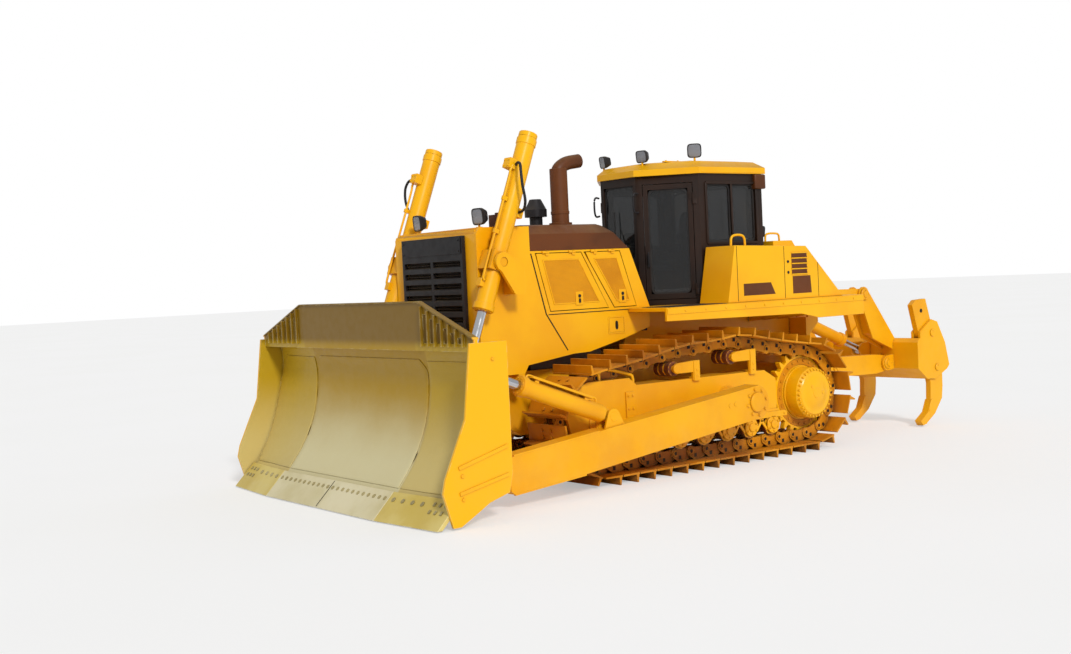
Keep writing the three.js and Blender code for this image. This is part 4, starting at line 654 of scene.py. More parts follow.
def strip(x, start, end, width, height):
    """A bar on a face square to X, between two (y, z) points."""
    return bar((x, *start), (x, *end), width, height, OUT)


AXES = {
    "x": ((0, 1, 0), (0, 0, 1), (1, 0, 0)),
    "y": ((1, 0, 0), (0, 0, 1), (0, 1, 0)),
    "z": ((1, 0, 0), (0, 1, 0), (0, 0, 1)),
}


def plate(axis, outline, low, high):
    """A flat plate: an outline in the two other axes, carried from low to high along an axis."""
    across, upward, along = (np.array(a, float) for a in AXES[axis])
    return carried(outline, [low * along, high * along], across, upward)


def block(x, y, z):
    """A rectangular block between two limits in each axis."""
    return plate("z", [(x[0], y[0]), (x[1], y[0]), (x[1], y[1]), (x[0], y[1])], z[0], z[1])


def smooth_line(controls, steps=8):
    """Points of a Catmull-Rom curve through the controls: a cubic in each span from its four
    neighbours."""
    c = np.asarray(controls, float)
    c = np.concatenate((2 * c[:1] - c[1:2], c, 2 * c[-1:] - c[-2:-1]))
    t = np.linspace(0, 1, steps, endpoint=False)[None, :, None]
    a, b, d, e = (c[k : len(c) - 3 + k, None] for k in range(4))
    spans = 0.5 * (
        2 * b + (d - a) * t + (2 * a - 5 * b + 4 * d - e) * t**2 + (3 * b - a - 3 * d + e) * t**3
    )
    return np.concatenate((spans.reshape(-1, c.shape[1]), c[-2:-1]))


def tube(line, radius, sides=12, reference=OUT):
    """A round tube on a line of points, square to the line's slope at each of them."""
    line = np.asarray(line, float)
    slope = unit(np.gradient(line, axis=0))
    across = unit(np.cross(reference, slope))
    return carried(circle(sides), line, across, np.cross(slope, across), radius)


def turned_over(part):
    """A part reflected in the machine's centre plane, its faces reversed to look outwards again."""
    points, faces = part
    return points * (-1, 1, 1), [face[::-1] for face in faces]


def moved(part, x):
    """A part shifted along X."""
    points, faces = part
    return points + (x, 0, 0), faces


SLOT_OF = {
    "yellow_paint": "yellow arm_yellow moldboard track mesh",
    "brown_paint": "brown",
    "black_paint": "cab black void",
    "worn_steel": "steel end_bit plough_bolt",
    "cast_iron": "iron roller",
    "chrome": "chrome",
    "upholstery": "cloth",
}
SLOT_OF = {finish: slot for slot, finishes in SLOT_OF.items() for finish in finishes.split()}


def clean(mesh, sharp):
    """Merges what coincides, turns faces outwards, and marks edges sharper than an angle in degrees."""
    shape = bmesh.new()
    shape.from_mesh(mesh)
    bmesh.ops.remove_doubles(shape, verts=shape.verts, dist=1e-5)
    bmesh.ops.recalc_face_normals(shape, faces=shape.faces)
    shape.to_mesh(mesh)
    shape.free()
    mesh.shade_smooth()
    mesh.set_sharp_from_angle(angle=math.radians(sharp))


def linked(name, mesh):
    """A new object in the scene."""
    made = bpy.data.objects.new(name, mesh)
    bpy.context.scene.collection.objects.link(made)
    return made


def round_edges(made, width, limit=40):
    """A bevel of two segments on edges sharper than a limit in degrees."""
    edge = made.modifiers.new("edge", "BEVEL")
    edge.width = width
    edge.segments = 2
    edge.limit_method = "ANGLE"
    edge.angle_limit = math.radians(limit)
    return edge


def piece(name, part, finish, body="tractor", bevel=0.0, sharp=38, side=1):
    """A new visible piece from points and faces in the drawing frame, riding on a body."""
    points, faces = part if side > 0 else turned_over(part)
    mesh = bpy.data.meshes.new(name)
    mesh.from_pydata((points + (0, SHIFT, 0)).tolist(), [], faces)
    clean(mesh, sharp)
    mesh.materials.append(FINISH[finish])
    made = linked(name, mesh)
    if bevel:
        round_edges(made, bevel).use_clamp_overlap = True
    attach(made, body)
    return made


def pair(name, part, finish, body="tractor", bevel=0.0, sharp=38):
    """A piece on each side: the left one as drawn, the right one turned over. A {} in a name stands
    for the side's own word, which otherwise ends the piece's name."""
    name = name if "{}" in name else name + "_{}"
    for word, side in SIDES:
        piece(name.format(word), part, finish, body.format(word), bevel, sharp, side)


def refined(name, finish, bevel=0.006):
    """A CAD node as a finished piece: merged, flat faces joined, edges rounded, and shaded smooth."""
    mesh = CAD[name].data.copy()
    shape = bmesh.new()
    shape.from_mesh(mesh)
    bmesh.ops.remove_doubles(shape, verts=shape.verts, dist=2e-5)
    bmesh.ops.dissolve_limit(
        shape, angle_limit=math.radians(1.2), verts=shape.verts, edges=shape.edges
    )
    shape.to_mesh(mesh)
    shape.free()
    mesh.shade_smooth()
    mesh.set_sharp_from_angle(angle=math.radians(38))
    mesh.materials.clear()
    mesh.materials.append(FINISH[finish])
    made = linked("finished_" + name, mesh)
    edge = round_edges(made, bevel)
    edge.use_clamp_overlap = True
    edge.harden_normals = True
    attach(made, BODY_OF[name])
    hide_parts(name)


# ---------------------------------------------------------------- finishes of the CAD pieces
NODE_FINISH = {
    "yellow": (
        "radiator_guard side_panel_left side_panel_right fender_left fender_right battery_box_left "
        "hydraulic_tank_right fuel_tank cab_roof engine_door_front_left engine_door_front_right "
        "engine_door_rear_left engine_door_rear_right final_drive_left final_drive_right"
    ),
    "arm_yellow": (
        "main_frame push_arm_left push_arm_right track_frame_left track_frame_right idler_left "
        "idler_right ripper_bracket ripper_arms ripper_beam ripper_shank_left ripper_shank_middle "
        "ripper_shank_right ripper_link_left ripper_link_right tilt_barrel_left tilt_barrel_right "
        "lift_barrel_left lift_barrel_right ripper_barrel_left ripper_barrel_right"
    ),
    "moldboard": "blade",
    "brown": "hood_top exhaust",
    "cab": "cab_frame cab_door_left cab_door_right",
    "black": "grille bulkhead air_intake control_consoles",
    "steel": "cutting_edge",
    "end_bit": "end_bit_left end_bit_right",
    "chrome": (
        "tilt_rod_left tilt_rod_right lift_rod_left lift_rod_right ripper_rod_left ripper_rod_right"
    ),
    "iron": "engine",
}
FINE_BEVEL = {"grille": 0.003, "cab_door_left": 0.004, "cab_door_right": 0.004}
for finish_name, nodes in NODE_FINISH.items():
    for cad_node in nodes.split():
        refined(cad_node, finish_name, FINE_BEVEL.get(cad_node, 0.006))

# ---------------------------------------------------------------- tracks
TRACK_X = 1.070
SHOE_HALF = 0.305
LINK_COUNT = 40
PIN_ABOVE_CARRIER = 0.160
SPROCKET, SPROCKET_RADIUS = np.array((1.407, 0.648)), 0.460
IDLER, IDLER_RADIUS = np.array((-1.740, 0.625)), 0.437
CARRIERS = np.array(((-0.650, 1.080), (0.210, 1.140)))
CHAIN_SAG = 0.018


def sagging(start, end, count=24):
    """A span that hangs below its straight line by a parabola."""
    t = np.linspace(0, 1, count)[:, None]
    return start + (end - start) * t - (0, 1) * (CHAIN_SAG * 4 * t * (1 - t))


def touch_angle(centre, radius, point, side):
    """The angle at which a line from an outside point touches a circle."""
    away = point - centre
    return math.atan2(away[1], away[0]) + side * math.acos(radius / np.linalg.norm(away))


def pin_centres():
    """Pin centres at equal steps of length along the closed pin line."""
    front, rear = CARRIERS + (0, PIN_ABOVE_CARRIER)
    leaves = touch_angle(SPROCKET, SPROCKET_RADIUS, rear, -1)
    lands = touch_angle(IDLER, IDLER_RADIUS, front, 1)
    round_sprocket = arc_points(SPROCKET, SPROCKET_RADIUS, -math.pi / 2, leaves, 90)
    round_idler = arc_points(IDLER, IDLER_RADIUS, lands, 1.5 * math.pi, 90)
    spans = ((round_sprocket[-1], rear), (rear, front), (front, round_idler[0]))
    upper = [sagging(start, end)[1:] for start, end in spans]
    line = np.concatenate((round_sprocket, *upper, round_idler[1:], round_sprocket[:1]))
    length = np.concatenate(([0], np.cumsum(np.linalg.norm(np.diff(line, axis=0), axis=1))))
    wanted = np.linspace(0, length[-1], LINK_COUNT, endpoint=False)
    return np.column_stack([np.interp(wanted, length, line[:, k]) for k in (0, 1)])


def one_link(pitch):
    """One link in its own axes (across the track, along it, outwards): shoe with grouser, two cranked
    link plates, bushing, pin and shoe bolts."""
    shoe_low, shoe_top, grouser_tip, foot = 0.091, 0.108, 0.188, pitch - 0.046
    shoe = [
        (0.003, shoe_low), (0.003, shoe_top), (foot, shoe_top), (foot + 0.006, grouser_tip),
        (foot + 0.022, grouser_tip), (foot + 0.030, shoe_top), (pitch - 0.006, shoe_top),
        (pitch - 0.006, shoe_low),
    ]
    parts = [plate("x", shoe, -SHOE_HALF, SHOE_HALF)]
    near = arc_points(np.zeros(2), 0.056, 0.75 * math.pi, 1.45 * math.pi, 6)
    far = arc_points(np.array((pitch, 0)), 0.056, -0.45 * math.pi, 0.25 * math.pi, 6)
    foot_line = [(0.06, -0.036), (pitch - 0.06, -0.036)]
    head_line = [(pitch - 0.035, 0.090), (0.035, 0.090)]
    outline = np.concatenate((near, foot_line, far, head_line))
    pin_end = [(0, 0.036), (0.012, 0.036), (0.015, 0.028), (0.009, 0.020), (0.009, 0)]
    for side in (1, -1):
        points, faces = plate("x", outline, side * 0.046, side * 0.071)
        crank = np.clip((pitch * 0.62 - points[:, 1]) / (pitch * 0.24), 0, 1)
        points[:, 0] += side * 0.024 * crank * crank * (3 - 2 * crank)
        parts.append((points, faces))
        parts.append(turned((side * 0.090, 0, 0), (side, 0, 0), pin_end, 12))
        for along in (0.062, 0.132):
            parts.append(turned((side * 0.066, along, 0.106), UP, [(0, 0.018), (0.014, 0.017)], 6))
            parts.append(turned((side * 0.066, along, 0.070), UP, [(0, 0.019), (0.022, 0.019)], 6))
    parts.append(turned((-0.050, 0, 0), OUT, [(0, 0.034), (0.100, 0.034)], 14))
    return joined(*parts)


def link_recesses():
    """Painted shade of the hollows on a link: dark plates at a pin bore at its end and at a nut window in
    each plate.
    """
    bore, half, low, high = [(0, 0.019), (0.0015, 0.019), (0.0015, 0.0)], 0.017, 0.030, 0.068
    parts = []
    for side in (1, -1):
        parts.append(turned((side * 0.0985, 0, 0), (side, 0, 0), bore, 10))
        for along, face in ((0.062, 0.0955), (0.136, 0.0725)):
            near, far = sorted((side * (face - 0.006), side * (face + 0.0012)))
            left, right = along - half, along + half
            window_line = [(left, low), (right, low), (right, high), (left, high)]
            parts.append(plate("x", window_line, near, far))
    return joined(*parts)


def laid_links(link, pins):
    """A link repeated round the chain: each point is pin + along * tangent + outwards * normal."""
    points, faces = link
    along = unit(np.roll(pins, -1, axis=0) - pins)
    outward = np.column_stack((along[:, 1], -along[:, 0]))
    flat = (
        pins[:, None]
        + points[None, :, 1:2] * along[:, None]
        + points[None, :, 2:3] * outward[:, None]
    )
    sideways = np.broadcast_to(points[None, :, :1], (*flat.shape[:2], 1))
    return joined(*[(copy, faces) for copy in np.concatenate((sideways, flat), -1)])


PINS = pin_centres()
CHAIN = moved(laid_links(one_link(float(np.linalg.norm(PINS[1] - PINS[0]))), PINS), TRACK_X)
# Dark plates in the links' hollows: painted shade.
pair("track_hollows", moved(laid_links(link_recesses(), PINS), TRACK_X), "void")
for side_name, side in SIDES:
    chain = piece("track_chain_" + side_name, CHAIN, "track", side=side)
    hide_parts("track_" + side_name)

ROLLER_Y = -1.300 + 0.350 * np.arange(7)
ROLLER_Z = 0.3483
FRAME_X = TRACK_X + 0.150
ROLLER = [
    (0, 0.119), (0.026, 0.119), (0.029, 0.1015), (0.100, 0.1015), (0.103, 0.086),
    (0.151, 0.086), (0.154, 0.1015), (0.225, 0.1015), (0.228, 0.119), (0.254, 0.119),
]
CARRIER_ROLLER = [
    (0, 0.070), (0.004, 0.078), (0.060, 0.078), (0.064, 0.064), (0.080, 0.064), (0.084, 0.078),
    (0.140, 0.078), (0.144, 0.064), (0.160, 0.064), (0.164, 0.078), (0.230, 0.078), (0.234, 0.066),
]
HUB_DOME = [
    (0, 0.236), (0.008, 0.232), (0.013, 0.160), (0.024, 0.146), (0.028, 0.062), (0.036, 0.056),
    (0.036, 0.0),
]


def final_drive_covers():
    """The hub's dome with its bolts and plugs, and the sprocket's bolted rim."""
    hub_x, rim_x = TRACK_X + 0.22, TRACK_X + 0.030
    dome = turned((hub_x + 0.03, *SPROCKET), OUT, HUB_DOME, 48)
    hub_bolts = bolt_ring(hub_x + 0.012, SPROCKET, 0.266, 32, 0.0125, 0.026)
    plugs = [
        disc((hub_x + 0.052, *(SPROCKET + spot)), OUT, 0.020, 0.010)
        for spot in ((0.105, 0.0), (-0.07, 0.075))
    ]
    pair("hub_cover", joined(dome, *hub_bolts, *plugs), "yellow")
    rim = [(0, 0.398), (0.010, 0.392), (0.012, 0.320), (0.0, 0.310)]
    segment_bolts = bolt_ring(rim_x + 0.004, SPROCKET, 0.362, 24, 0.014, 0.018, 0.1)
    pair("sprocket_rim", joined(turned((rim_x, *SPROCKET), OUT, rim, 60), *segment_bolts), "track")


def rollers_and_caps():
    """The track rollers and carrier rollers, the rollers' bolted end caps, and the webs between."""
    caps = []
    for y in ROLLER_Y:
        for way in (1, -1):
            face, out = TRACK_X + way * 0.150, (way, 0, 0)
            caps.append(disc((face, y, ROLLER_Z), out, 0.098, 0.014, 28, 0.4))
            caps.append(disc((face + way * 0.014, y, ROLLER_Z), out, 0.048, 0.016, 20, 0.4))
            caps += bolt_ring(
                face + way * 0.013, (y, ROLLER_Z), 0.074, 6, 0.011, 0.013, 0.5, out
            )
    pair("roller_caps", joined(*caps), "arm_yellow")
    rollers = [turned((TRACK_X - 0.127, y, ROLLER_Z), OUT, ROLLER, 32) for y in ROLLER_Y]
    rollers += [turned((TRACK_X - 0.112, y, z), OUT, CARRIER_ROLLER, 32) for y, z in CARRIERS]
    pair("rollers", joined(*rollers), "roller")
    webs = [
        strip(TRACK_X + 0.139, (y - tilt, 0.300), (y + tilt, 0.505), 0.030, 0.018)
        for y in ROLLER_Y[:-1] + 0.175
        for tilt in (-0.085, 0.085)
    ]
    pair("bogie_webs", joined(*webs), "arm_yellow", bevel=0.003)


def track_frame_trim():
    """The loop over the idler yoke, the carrier rollers' stands, the idler's caps and the guard."""
    loop = [
        (-1.66, 1.035), (-1.65, 1.120), (-1.58, 1.150), (-1.26, 1.075), (-1.21, 1.030),
        (-1.21, 0.955),
    ]
    line = smooth_line([(TRACK_X + 0.10, *spot) for spot in loop], 6)
    pair("idler_yoke_loop", tube(line, 0.017, 14), "yellow")
    stands = []
    for y, z in CARRIERS:
        stands.append(disc((FRAME_X + 0.015, y, z), OUT, 0.052, 0.020, 24, 0.4))
        stands += bolts(FRAME_X + 0.015, [(y + 0.29, 0.99), (y + 0.29, 1.05)], 0.012, 0.014)
        stands.append(
            block((FRAME_X - 0.015, FRAME_X + 0.022), (y + 0.250, y + 0.330), (0.935, z + 0.062))
        )
    pair("carrier_stands", joined(*stands), "arm_yellow", bevel=0.004)
    caps = [
        disc((FRAME_X, *IDLER), OUT, 0.115, 0.024, 36, 0.4),
        disc((FRAME_X + 0.024, *IDLER), OUT, 0.050, 0.014, 24, 0.4),
        *bolt_ring(FRAME_X + 0.022, IDLER, 0.086, 8, 0.013, 0.014),
        block((FRAME_X, FRAME_X + 0.014), (-1.36, -1.24), (0.56, 0.90)),
    ]
    spots = [(y, z) for y in (-1.33, -1.27) for z in (0.60, 0.73, 0.86)]
    pair("idler_caps", joined(*caps, *bolts(FRAME_X + 0.014, spots, 0.013, 0.013)), "arm_yellow")
    guard_line = [
        (-1.20, 0.472), (-1.16, 0.492), (0.98, 0.492), (1.02, 0.472), (1.02, 0.430), (-1.20, 0.430),
    ]
    guard = plate("x", guard_line, FRAME_X, FRAME_X + 0.014)
    guard_bolts = bolts(FRAME_X + 0.014, [(y + 0.175, 0.460) for y in ROLLER_Y], 0.011, 0.011)
    pair("track_guard", joined(guard, *guard_bolts), "arm_yellow", bevel=0.003)


final_drive_covers()
rollers_and_caps()
track_frame_trim()

# ---------------------------------------------------------------- blade
LINER_LOW, LINER_TOP, LINER_CHAMFER = 0.262, 1.400, 0.100
GUARD_LOW, GUARD_HIGH, GUARD_FLAT = 1.600, 1.930, 1.150


def spread(low, high, share):
    """A value a share of the way from low to high."""
    return low + (high - low) * share


def liner(name, x_of, top, columns):
    """A liner plate on the blade's curved face: a grid in x and height, brought along Y onto the face
    and made solid about it. x_of gives x from the two parameters and the height."""
    rows = 40
    u, v = np.meshgrid(np.linspace(0, 1, columns), np.linspace(0, 1, rows))
    z = spread(LINER_LOW, top, v)
    points = np.column_stack((x_of(u, v, z).ravel(), np.full(u.size, -4.6), z.ravel()))
    mesh = bpy.data.meshes.new(name)
    mesh.from_pydata((points + (0, SHIFT, 0)).tolist(), [], grid_faces(rows, columns, False))
    sheet = linked(name, mesh)
    wrap = sheet.modifiers.new("lay", "SHRINKWRAP")
    wrap.target = CAD["blade"]
    wrap.wrap_method = "PROJECT"
    wrap.use_project_y = True
    wrap.use_positive_direction = True
    wrap.use_negative_direction = False
    wrap.offset = 0.004
    bpy.context.view_layer.update()
    graph = bpy.context.evaluated_depsgraph_get()
    laid = bpy.data.meshes.new_from_object(sheet.evaluated_get(graph))
    sheet.modifiers.clear()
    sheet.data = laid
    bpy.data.meshes.remove(mesh)
    clean(laid, 30)
    laid.materials.append(FINISH["moldboard"])
    solidify = sheet.modifiers.new("thickness", "SOLIDIFY")
    solidify.thickness = 0.008
    solidify.offset = 0
    round_edges(sheet, 0.002, 50)
    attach(sheet, "blade")


def middle_liner_x(u, v, z):
    """The middle liner is narrower where its upper corners are cut off."""
    return (2 * u - 1) * (1.062 - np.clip(z - (LINER_TOP - LINER_CHAMFER), 0, None))


def side_liner_x(u, v, z):
    """A side liner draws in towards the top of its outer edge."""
    return spread(1.092, 1.975 - np.clip(v - 0.88, 0, 1), u)


liner("moldboard_liner_middle", middle_liner_x, LINER_TOP, 40)
for side_name, side in SIDES:
    liner("moldboard_liner_" + side_name, lambda *uvz: side * side_liner_x(*uvz), 1.385, 24)


def edge_fittings():
    """Bolt heads sunk in the cutting edges, in rows square to the sloping slab, and the middle
    seam."""
    slope = unit((0.0, -0.235, -0.230))
    out = unit(np.cross(slope, OUT))
    inner, outer = np.array((0.0, -4.044, 0.244)), np.array((0.0, -3.959, 0.244))

    def on_edge(x, down, lift=0.0):
        share = max(0.0, (x - SEAM_X) / (BLADE_HALF - SEAM_X))
        return inner + (outer - inner) * share + slope * down + out * lift + (x, 0, 0)

    def head(spot, radius, rim):
        sunk = [(-0.004, radius), (0.003, radius), (0.004, rim), (0.001, 0.012), (0.001, 0)]
        return turned(spot, out, sunk, 16)

    heads = [head(on_edge(x, 0.085), 0.021, 0.017) for x in np.linspace(-1.02, 1.02, 22)]
    piece("cutting_edge_bolts", joined(*heads), "plough_bolt", "blade", sharp=30)
    seam = bar(on_edge(0, 0.012, 0.001), on_edge(0, 0.315, 0.001), 0.006, 0.003, out)
    piece("cutting_edge_seam", seam, "void", "blade")
    heads = [head(on_edge(x, 0.085, 0.002), 0.023, 0.018) for x in (1.16, 1.30, 1.44, 1.58)]
    heads += [
        bar(on_edge(x, down - 0.018, 0.003), on_edge(x, down + 0.018, 0.003), 0.026, 0.006, out)
        for x in (1.74, 1.82, 1.90)
        for down in (0.070, 0.150)
    ]
    pair("end_bit_bolts", joined(*heads), "plough_bolt", "blade", sharp=30)


def blade_trim():
    """Stiffening strips and bolts on the side plates, and the spill guard's bars and rim."""
    strip_x = BLADE_HALF + 0.006
    strips = [
        bar((strip_x, -3.965, low), (strip_x, -3.445, high), 0.014, 0.030)
        for low, high in ((0.520, 0.660), (0.300, 0.410))
    ]
    corner_bolts = bolts(BLADE_HALF, ((-3.93, 0.45), (-3.93, 0.25), (-3.56, 1.42)), 0.016, 0.012)
    pair("side_plate_strips", joined(*strips, *corner_bolts), "yellow", "blade", 0.003)
    fall = (GUARD_HIGH - GUARD_LOW) / (BLADE_HALF - GUARD_FLAT)
    bars = []
    for x in 1.215 + 0.110 * np.arange(7):
        top = GUARD_HIGH - (x - GUARD_FLAT) * fall - 0.012
        bars.append(bar((x, -3.752, 1.530), (x, -3.752, top), 0.018, 0.030, (0, 1, 0)))
    pair("spill_guard_bars", joined(*bars), "moldboard", "blade", 0.003)
    line = [(-2.030, 1.604), (-1.150, 1.932), (1.150, 1.932), (2.030, 1.604)]
    rims = [
        bar((a[0], -3.722, a[1]), (b[0], -3.722, b[1]), 0.060, 0.016)
        for a, b in zip(line, line[1:])
    ]
    piece("spill_guard_rim", joined(*rims), "moldboard", "blade", 0.004)


edge_fittings()
blade_trim()

# ---------------------------------------------------------------- push arms and cylinders
# Each cylinder: its x, the pivot and the far eye it points to, as (y, z).
TILT = (1.540, (-1.860, 0.725), (-3.290, 1.250))
LIFT = (0.857, (-2.640, 2.270), (-3.175, 0.870))
RIPPER = (0.300, (2.430, 1.400), (3.480, 0.985))
ARM_OUTER = 1.650
HOSE_RADIUS = 0.014
HOSE_BOW = (
    (-0.980, 0.090, 0.060), (-0.985, 0.115, 0.120), (-0.960, 0.120, 0.172),
    (-0.880, 0.110, 0.205), (-0.760, 0.060, 0.215), (-0.650, -0.020, 0.200),
    (-0.585, -0.072, 0.150), (-0.556, -0.092, 0.090), (-0.550, -0.096, 0.030),
)


def cylinder_axes(cylinder):
    """The axis of a cylinder, the direction square to it and upwards, and a function that gives the
    point a distance along the axis, a distance above it and a distance outboard."""
    x, (y, z), target = cylinder
    axis = unit((0.0, target[0] - y, target[1] - z))
    over = np.array((0.0, axis[2], -axis[1]))

    def at(along, above, outboard=0.0):
        return np.array((x, y, z)) + axis * along + over * above + (outboard, 0, 0)

    return axis, over, at


def sleeve(cylinder, stations, sides=40):
    """A turned skin on a cylinder."""
    x, pivot, target = cylinder
    start = np.array((x, *pivot))
    return turned(start, np.array((x, *target)) - start, stations, sides)


def collar(cylinder, stations, wall=0.012, sides=40):
    """A skin that is open through its middle: it runs out along the stations and back inside them, a
    wall's thickness in, so that a rod can slide through it."""
    inner = min(radius for _, radius in stations) - wall
    stations = [(stations[0][0], inner), *stations, (stations[-1][0], inner)]
    points, faces = sleeve(cylinder, stations, sides)
    k = np.arange(sides)
    ahead = (k + 1) % sides
    end = (len(stations) - 1) * sides
    return points, faces[:-2] + np.stack((end + k, end + ahead, ahead, k), -1).tolist()


def gland(cylinder, at, radius, count=8):
    """The bolted head of a barrel: a ring with a step, and bolts round its face."""
    x, pivot, target = cylinder
    start = np.array((x, *pivot))
    along = unit(np.array((x, *target)) - start)
    across, upward = side_axes(along)
    steps = ((-0.074, 0.004), (-0.070, 0.0147), (-0.012, 0.0147), (-0.006, 0.008))
    ring = collar(cylinder, [(at + back, radius + rise) for back, rise in steps])
    angle = np.arange(count) * 2 * np.pi / count + 0.3
    spots = start + along * (at - 0.008) + (radius - 0.012) * (
        np.cos(angle)[:, None] * across + np.sin(angle)[:, None] * upward
    )
    return joined(ring, *[bolt(spot, along, 0.010, 0.013) for spot in spots])


def tilt_cylinders():
    """Skins and gland heads of the tilt cylinders, and a guard and a pipe on top of each."""
    barrel = collar(TILT, [(0.112, 0.078), (0.118, 0.0865), (1.078, 0.0865)])
    skin = joined(barrel, gland(TILT, 1.150, 0.085))
    pair("tilt_cylinder_skin", skin, "arm_yellow", "tilt_barrels", sharp=30)
    axis, over, at = cylinder_axes(TILT)
    shield = bar(at(0.30, 0.104), at(1.05, 0.104), 0.150, 0.012, over)
    feet = [bar(at(s, 0.070), at(s, 0.104), 0.10, 0.05, axis) for s in (0.36, 0.98)]
    pair("tilt_cylinder_guard", joined(shield, *feet), "yellow", "tilt_barrels", 0.003)
    run = ((0.20, 0.084), (0.22, 0.120), (0.30, 0.122), (0.95, 0.122), (1.06, 0.118), (1.08, 0.092))
    pipe = tube(smooth_line([at(*spot) for spot in run]), 0.011)
    pair("tilt_cylinder_pipe", pipe, "yellow", "tilt_barrels")
    pair("tilt_rod_skin", sleeve(TILT, [(1.10, 0.0455), (1.458, 0.0455)]), "chrome", "tilt_rods")


def lift_cylinders():
    """Skins, gland heads, port blocks and pipes of the lift cylinders, and the hose on each."""
    cap = [
        (-1.345, 0.0), (-1.352, 0.0), (-1.352, 0.084), (-1.344, 0.0935), (-1.300, 0.0935),
        (-1.300, 0.080), (-1.345, 0.080),
    ]
    skin = [
        sleeve(LIFT, cap),
        collar(LIFT, [(-1.305, 0.0935), (-0.100, 0.0935)]),
        collar(LIFT, [(0.100, 0.0935), (0.430, 0.0935)]),
        collar(LIFT, [(-1.290, 0.093), (-1.285, 0.101), (-1.225, 0.101), (-1.220, 0.093)]),
        gland(LIFT, 0.500, 0.092),
    ]
    pair("lift_cylinder_skin", joined(*skin), "yellow", "lift_barrels", sharp=30)
    pair("lift_rod_skin", sleeve(LIFT, [(0.45, 0.0455), (1.435, 0.0455)]), "chrome", "lift_rods")
    axis, over, at = cylinder_axes(LIFT)
    ports = [
        bar(at(-0.98, 0.080), at(-0.98, 0.165), 0.11, 0.10, axis),
        bar(at(-0.55, -0.080), at(-0.55, -0.150), 0.08, 0.09, axis),
        bar(at(0.24, 0.080), at(0.24, 0.130), 0.07, 0.08, axis),
    ]
    ports += [
        bolt(at(-0.98 + a, 0.165, b), over, 0.010, 0.012)
        for a in (-0.03, 0.03)
        for b in (-0.035, 0.035)
    ]
    pair("lift_cylinder_ports", joined(*ports), "yellow", "lift_barrels", 0.004)
    run = (
        (-0.96, 0.120), (-0.90, 0.128), (-0.80, 0.120), (-0.20, 0.122), (0.16, 0.122), (0.22, 0.100),
    )
    pipe = tube(smooth_line([at(*spot, 0.045) for spot in run]), 0.012)
    clips = [
        bar(at(s, 0.085, 0.045), at(s, 0.140, 0.045), 0.030, 0.040, axis) for s in (-0.62, -0.28)
    ]
    pair("lift_cylinder_pipe", joined(pipe, *clips), "yellow", "lift_barrels")
    line = smooth_line([at(*spot) for spot in HOSE_BOW], 4)
    for side_name, side in SIDES:
        lift_hose("lift_hose_" + side_name, side, line, axis)


def lift_hose(name, side, line, axis):
    """A short hose that leaves the upper port block, hangs in an open bow and goes into the lower
    port."""
    hose = tube(line, HOSE_RADIUS, 14, tuple(axis))
    hose = piece(name, hose, "rubber", "lift_barrels", sharp=50, side=side)


def arm_trim():
    """Edge strips on a push arm, the trunnion's bolted cap, and the tilt cylinder's pin cap."""
    edge_x = ARM_OUTER - 0.012
    parts = [
        bar((edge_x, -2.080, 0.607), (edge_x, -3.105, 0.497), 0.030, 0.016),
        bar((edge_x, -2.262, 0.215), (edge_x, -3.105, 0.138), 0.030, 0.014),
        disc((ARM_OUTER, 0.100, 0.680), OUT, 0.105, 0.026, 40, 0.4),
        *bolt_ring(ARM_OUTER, (0.100, 0.680), 0.140, 8, 0.015, 0.018, 0.2),
    ]
    parts += [
        disc((ARM_OUTER, *spot), OUT, 0.022, 0.006, 18) for spot in ((-0.22, 0.69), (-0.30, 0.68))
    ]
    pair("push_arm_trim", joined(*parts), "arm_yellow", "push_arms", 0.003)
    pin = disc((TILT[0] + 0.0705, *TILT[1]), OUT, 0.046, 0.010, 28, 0.4)
    pair("tilt_pin_cap", pin, "arm_yellow", "push_arms")


tilt_cylinders()
lift_cylinders()
arm_trim()

# ---------------------------------------------------------------- guard, hood and side panels
GUARD_TOP = 2.620
PANEL_X = 0.750
# On each engine door: its outline as (y, z), and the y of its latch.
DOOR_PANELS = {
    "front": ([(-2.070, 2.350), (-1.905, 1.750), (-1.120, 1.750), (-1.465, 2.350)], -1.52),
    "rear": ([(-1.435, 2.350), (-1.050, 1.750), (-0.730, 1.750), (-0.935, 2.350)], -0.93),
}


def grille_parts():
    """Sloping louvres behind the grille's slots, a dark plate behind them as painted shade of the space
    there, and the top band.
    """
    y = GUARD_FRONT - 0.010
    blades = [
        bar((low, y, z + rise), (low + 0.500, y, z + rise), 0.034, 0.005, (0, -0.5, 1))
        for z in 1.350 + 0.112 * np.arange(9)
        for low in (-0.520, 0.020)
        for rise in (0.008, 0.036)
    ]
    piece("grille_louvres", joined(*blades), "black")
    # A dark plate behind the louvres: painted shade.
    depth = (GUARD_FRONT + 0.012, GUARD_FRONT + 0.020)
    piece("grille_backing", block((-0.525, 0.525), depth, (1.322, 2.438)), "void")
    front = GUARD_FRONT - 0.052
    band = block((-0.540, 0.540), (front, front + 0.010), (2.375, 2.535))
    band_bolts = [
        bolt((x, front, z), AHEAD, 0.010, 0.008) for x in (-0.51, 0.51) for z in (2.40, 2.51)
    ]
    piece("grille_top_band", joined(band, *band_bolts), "black", bevel=0.004)


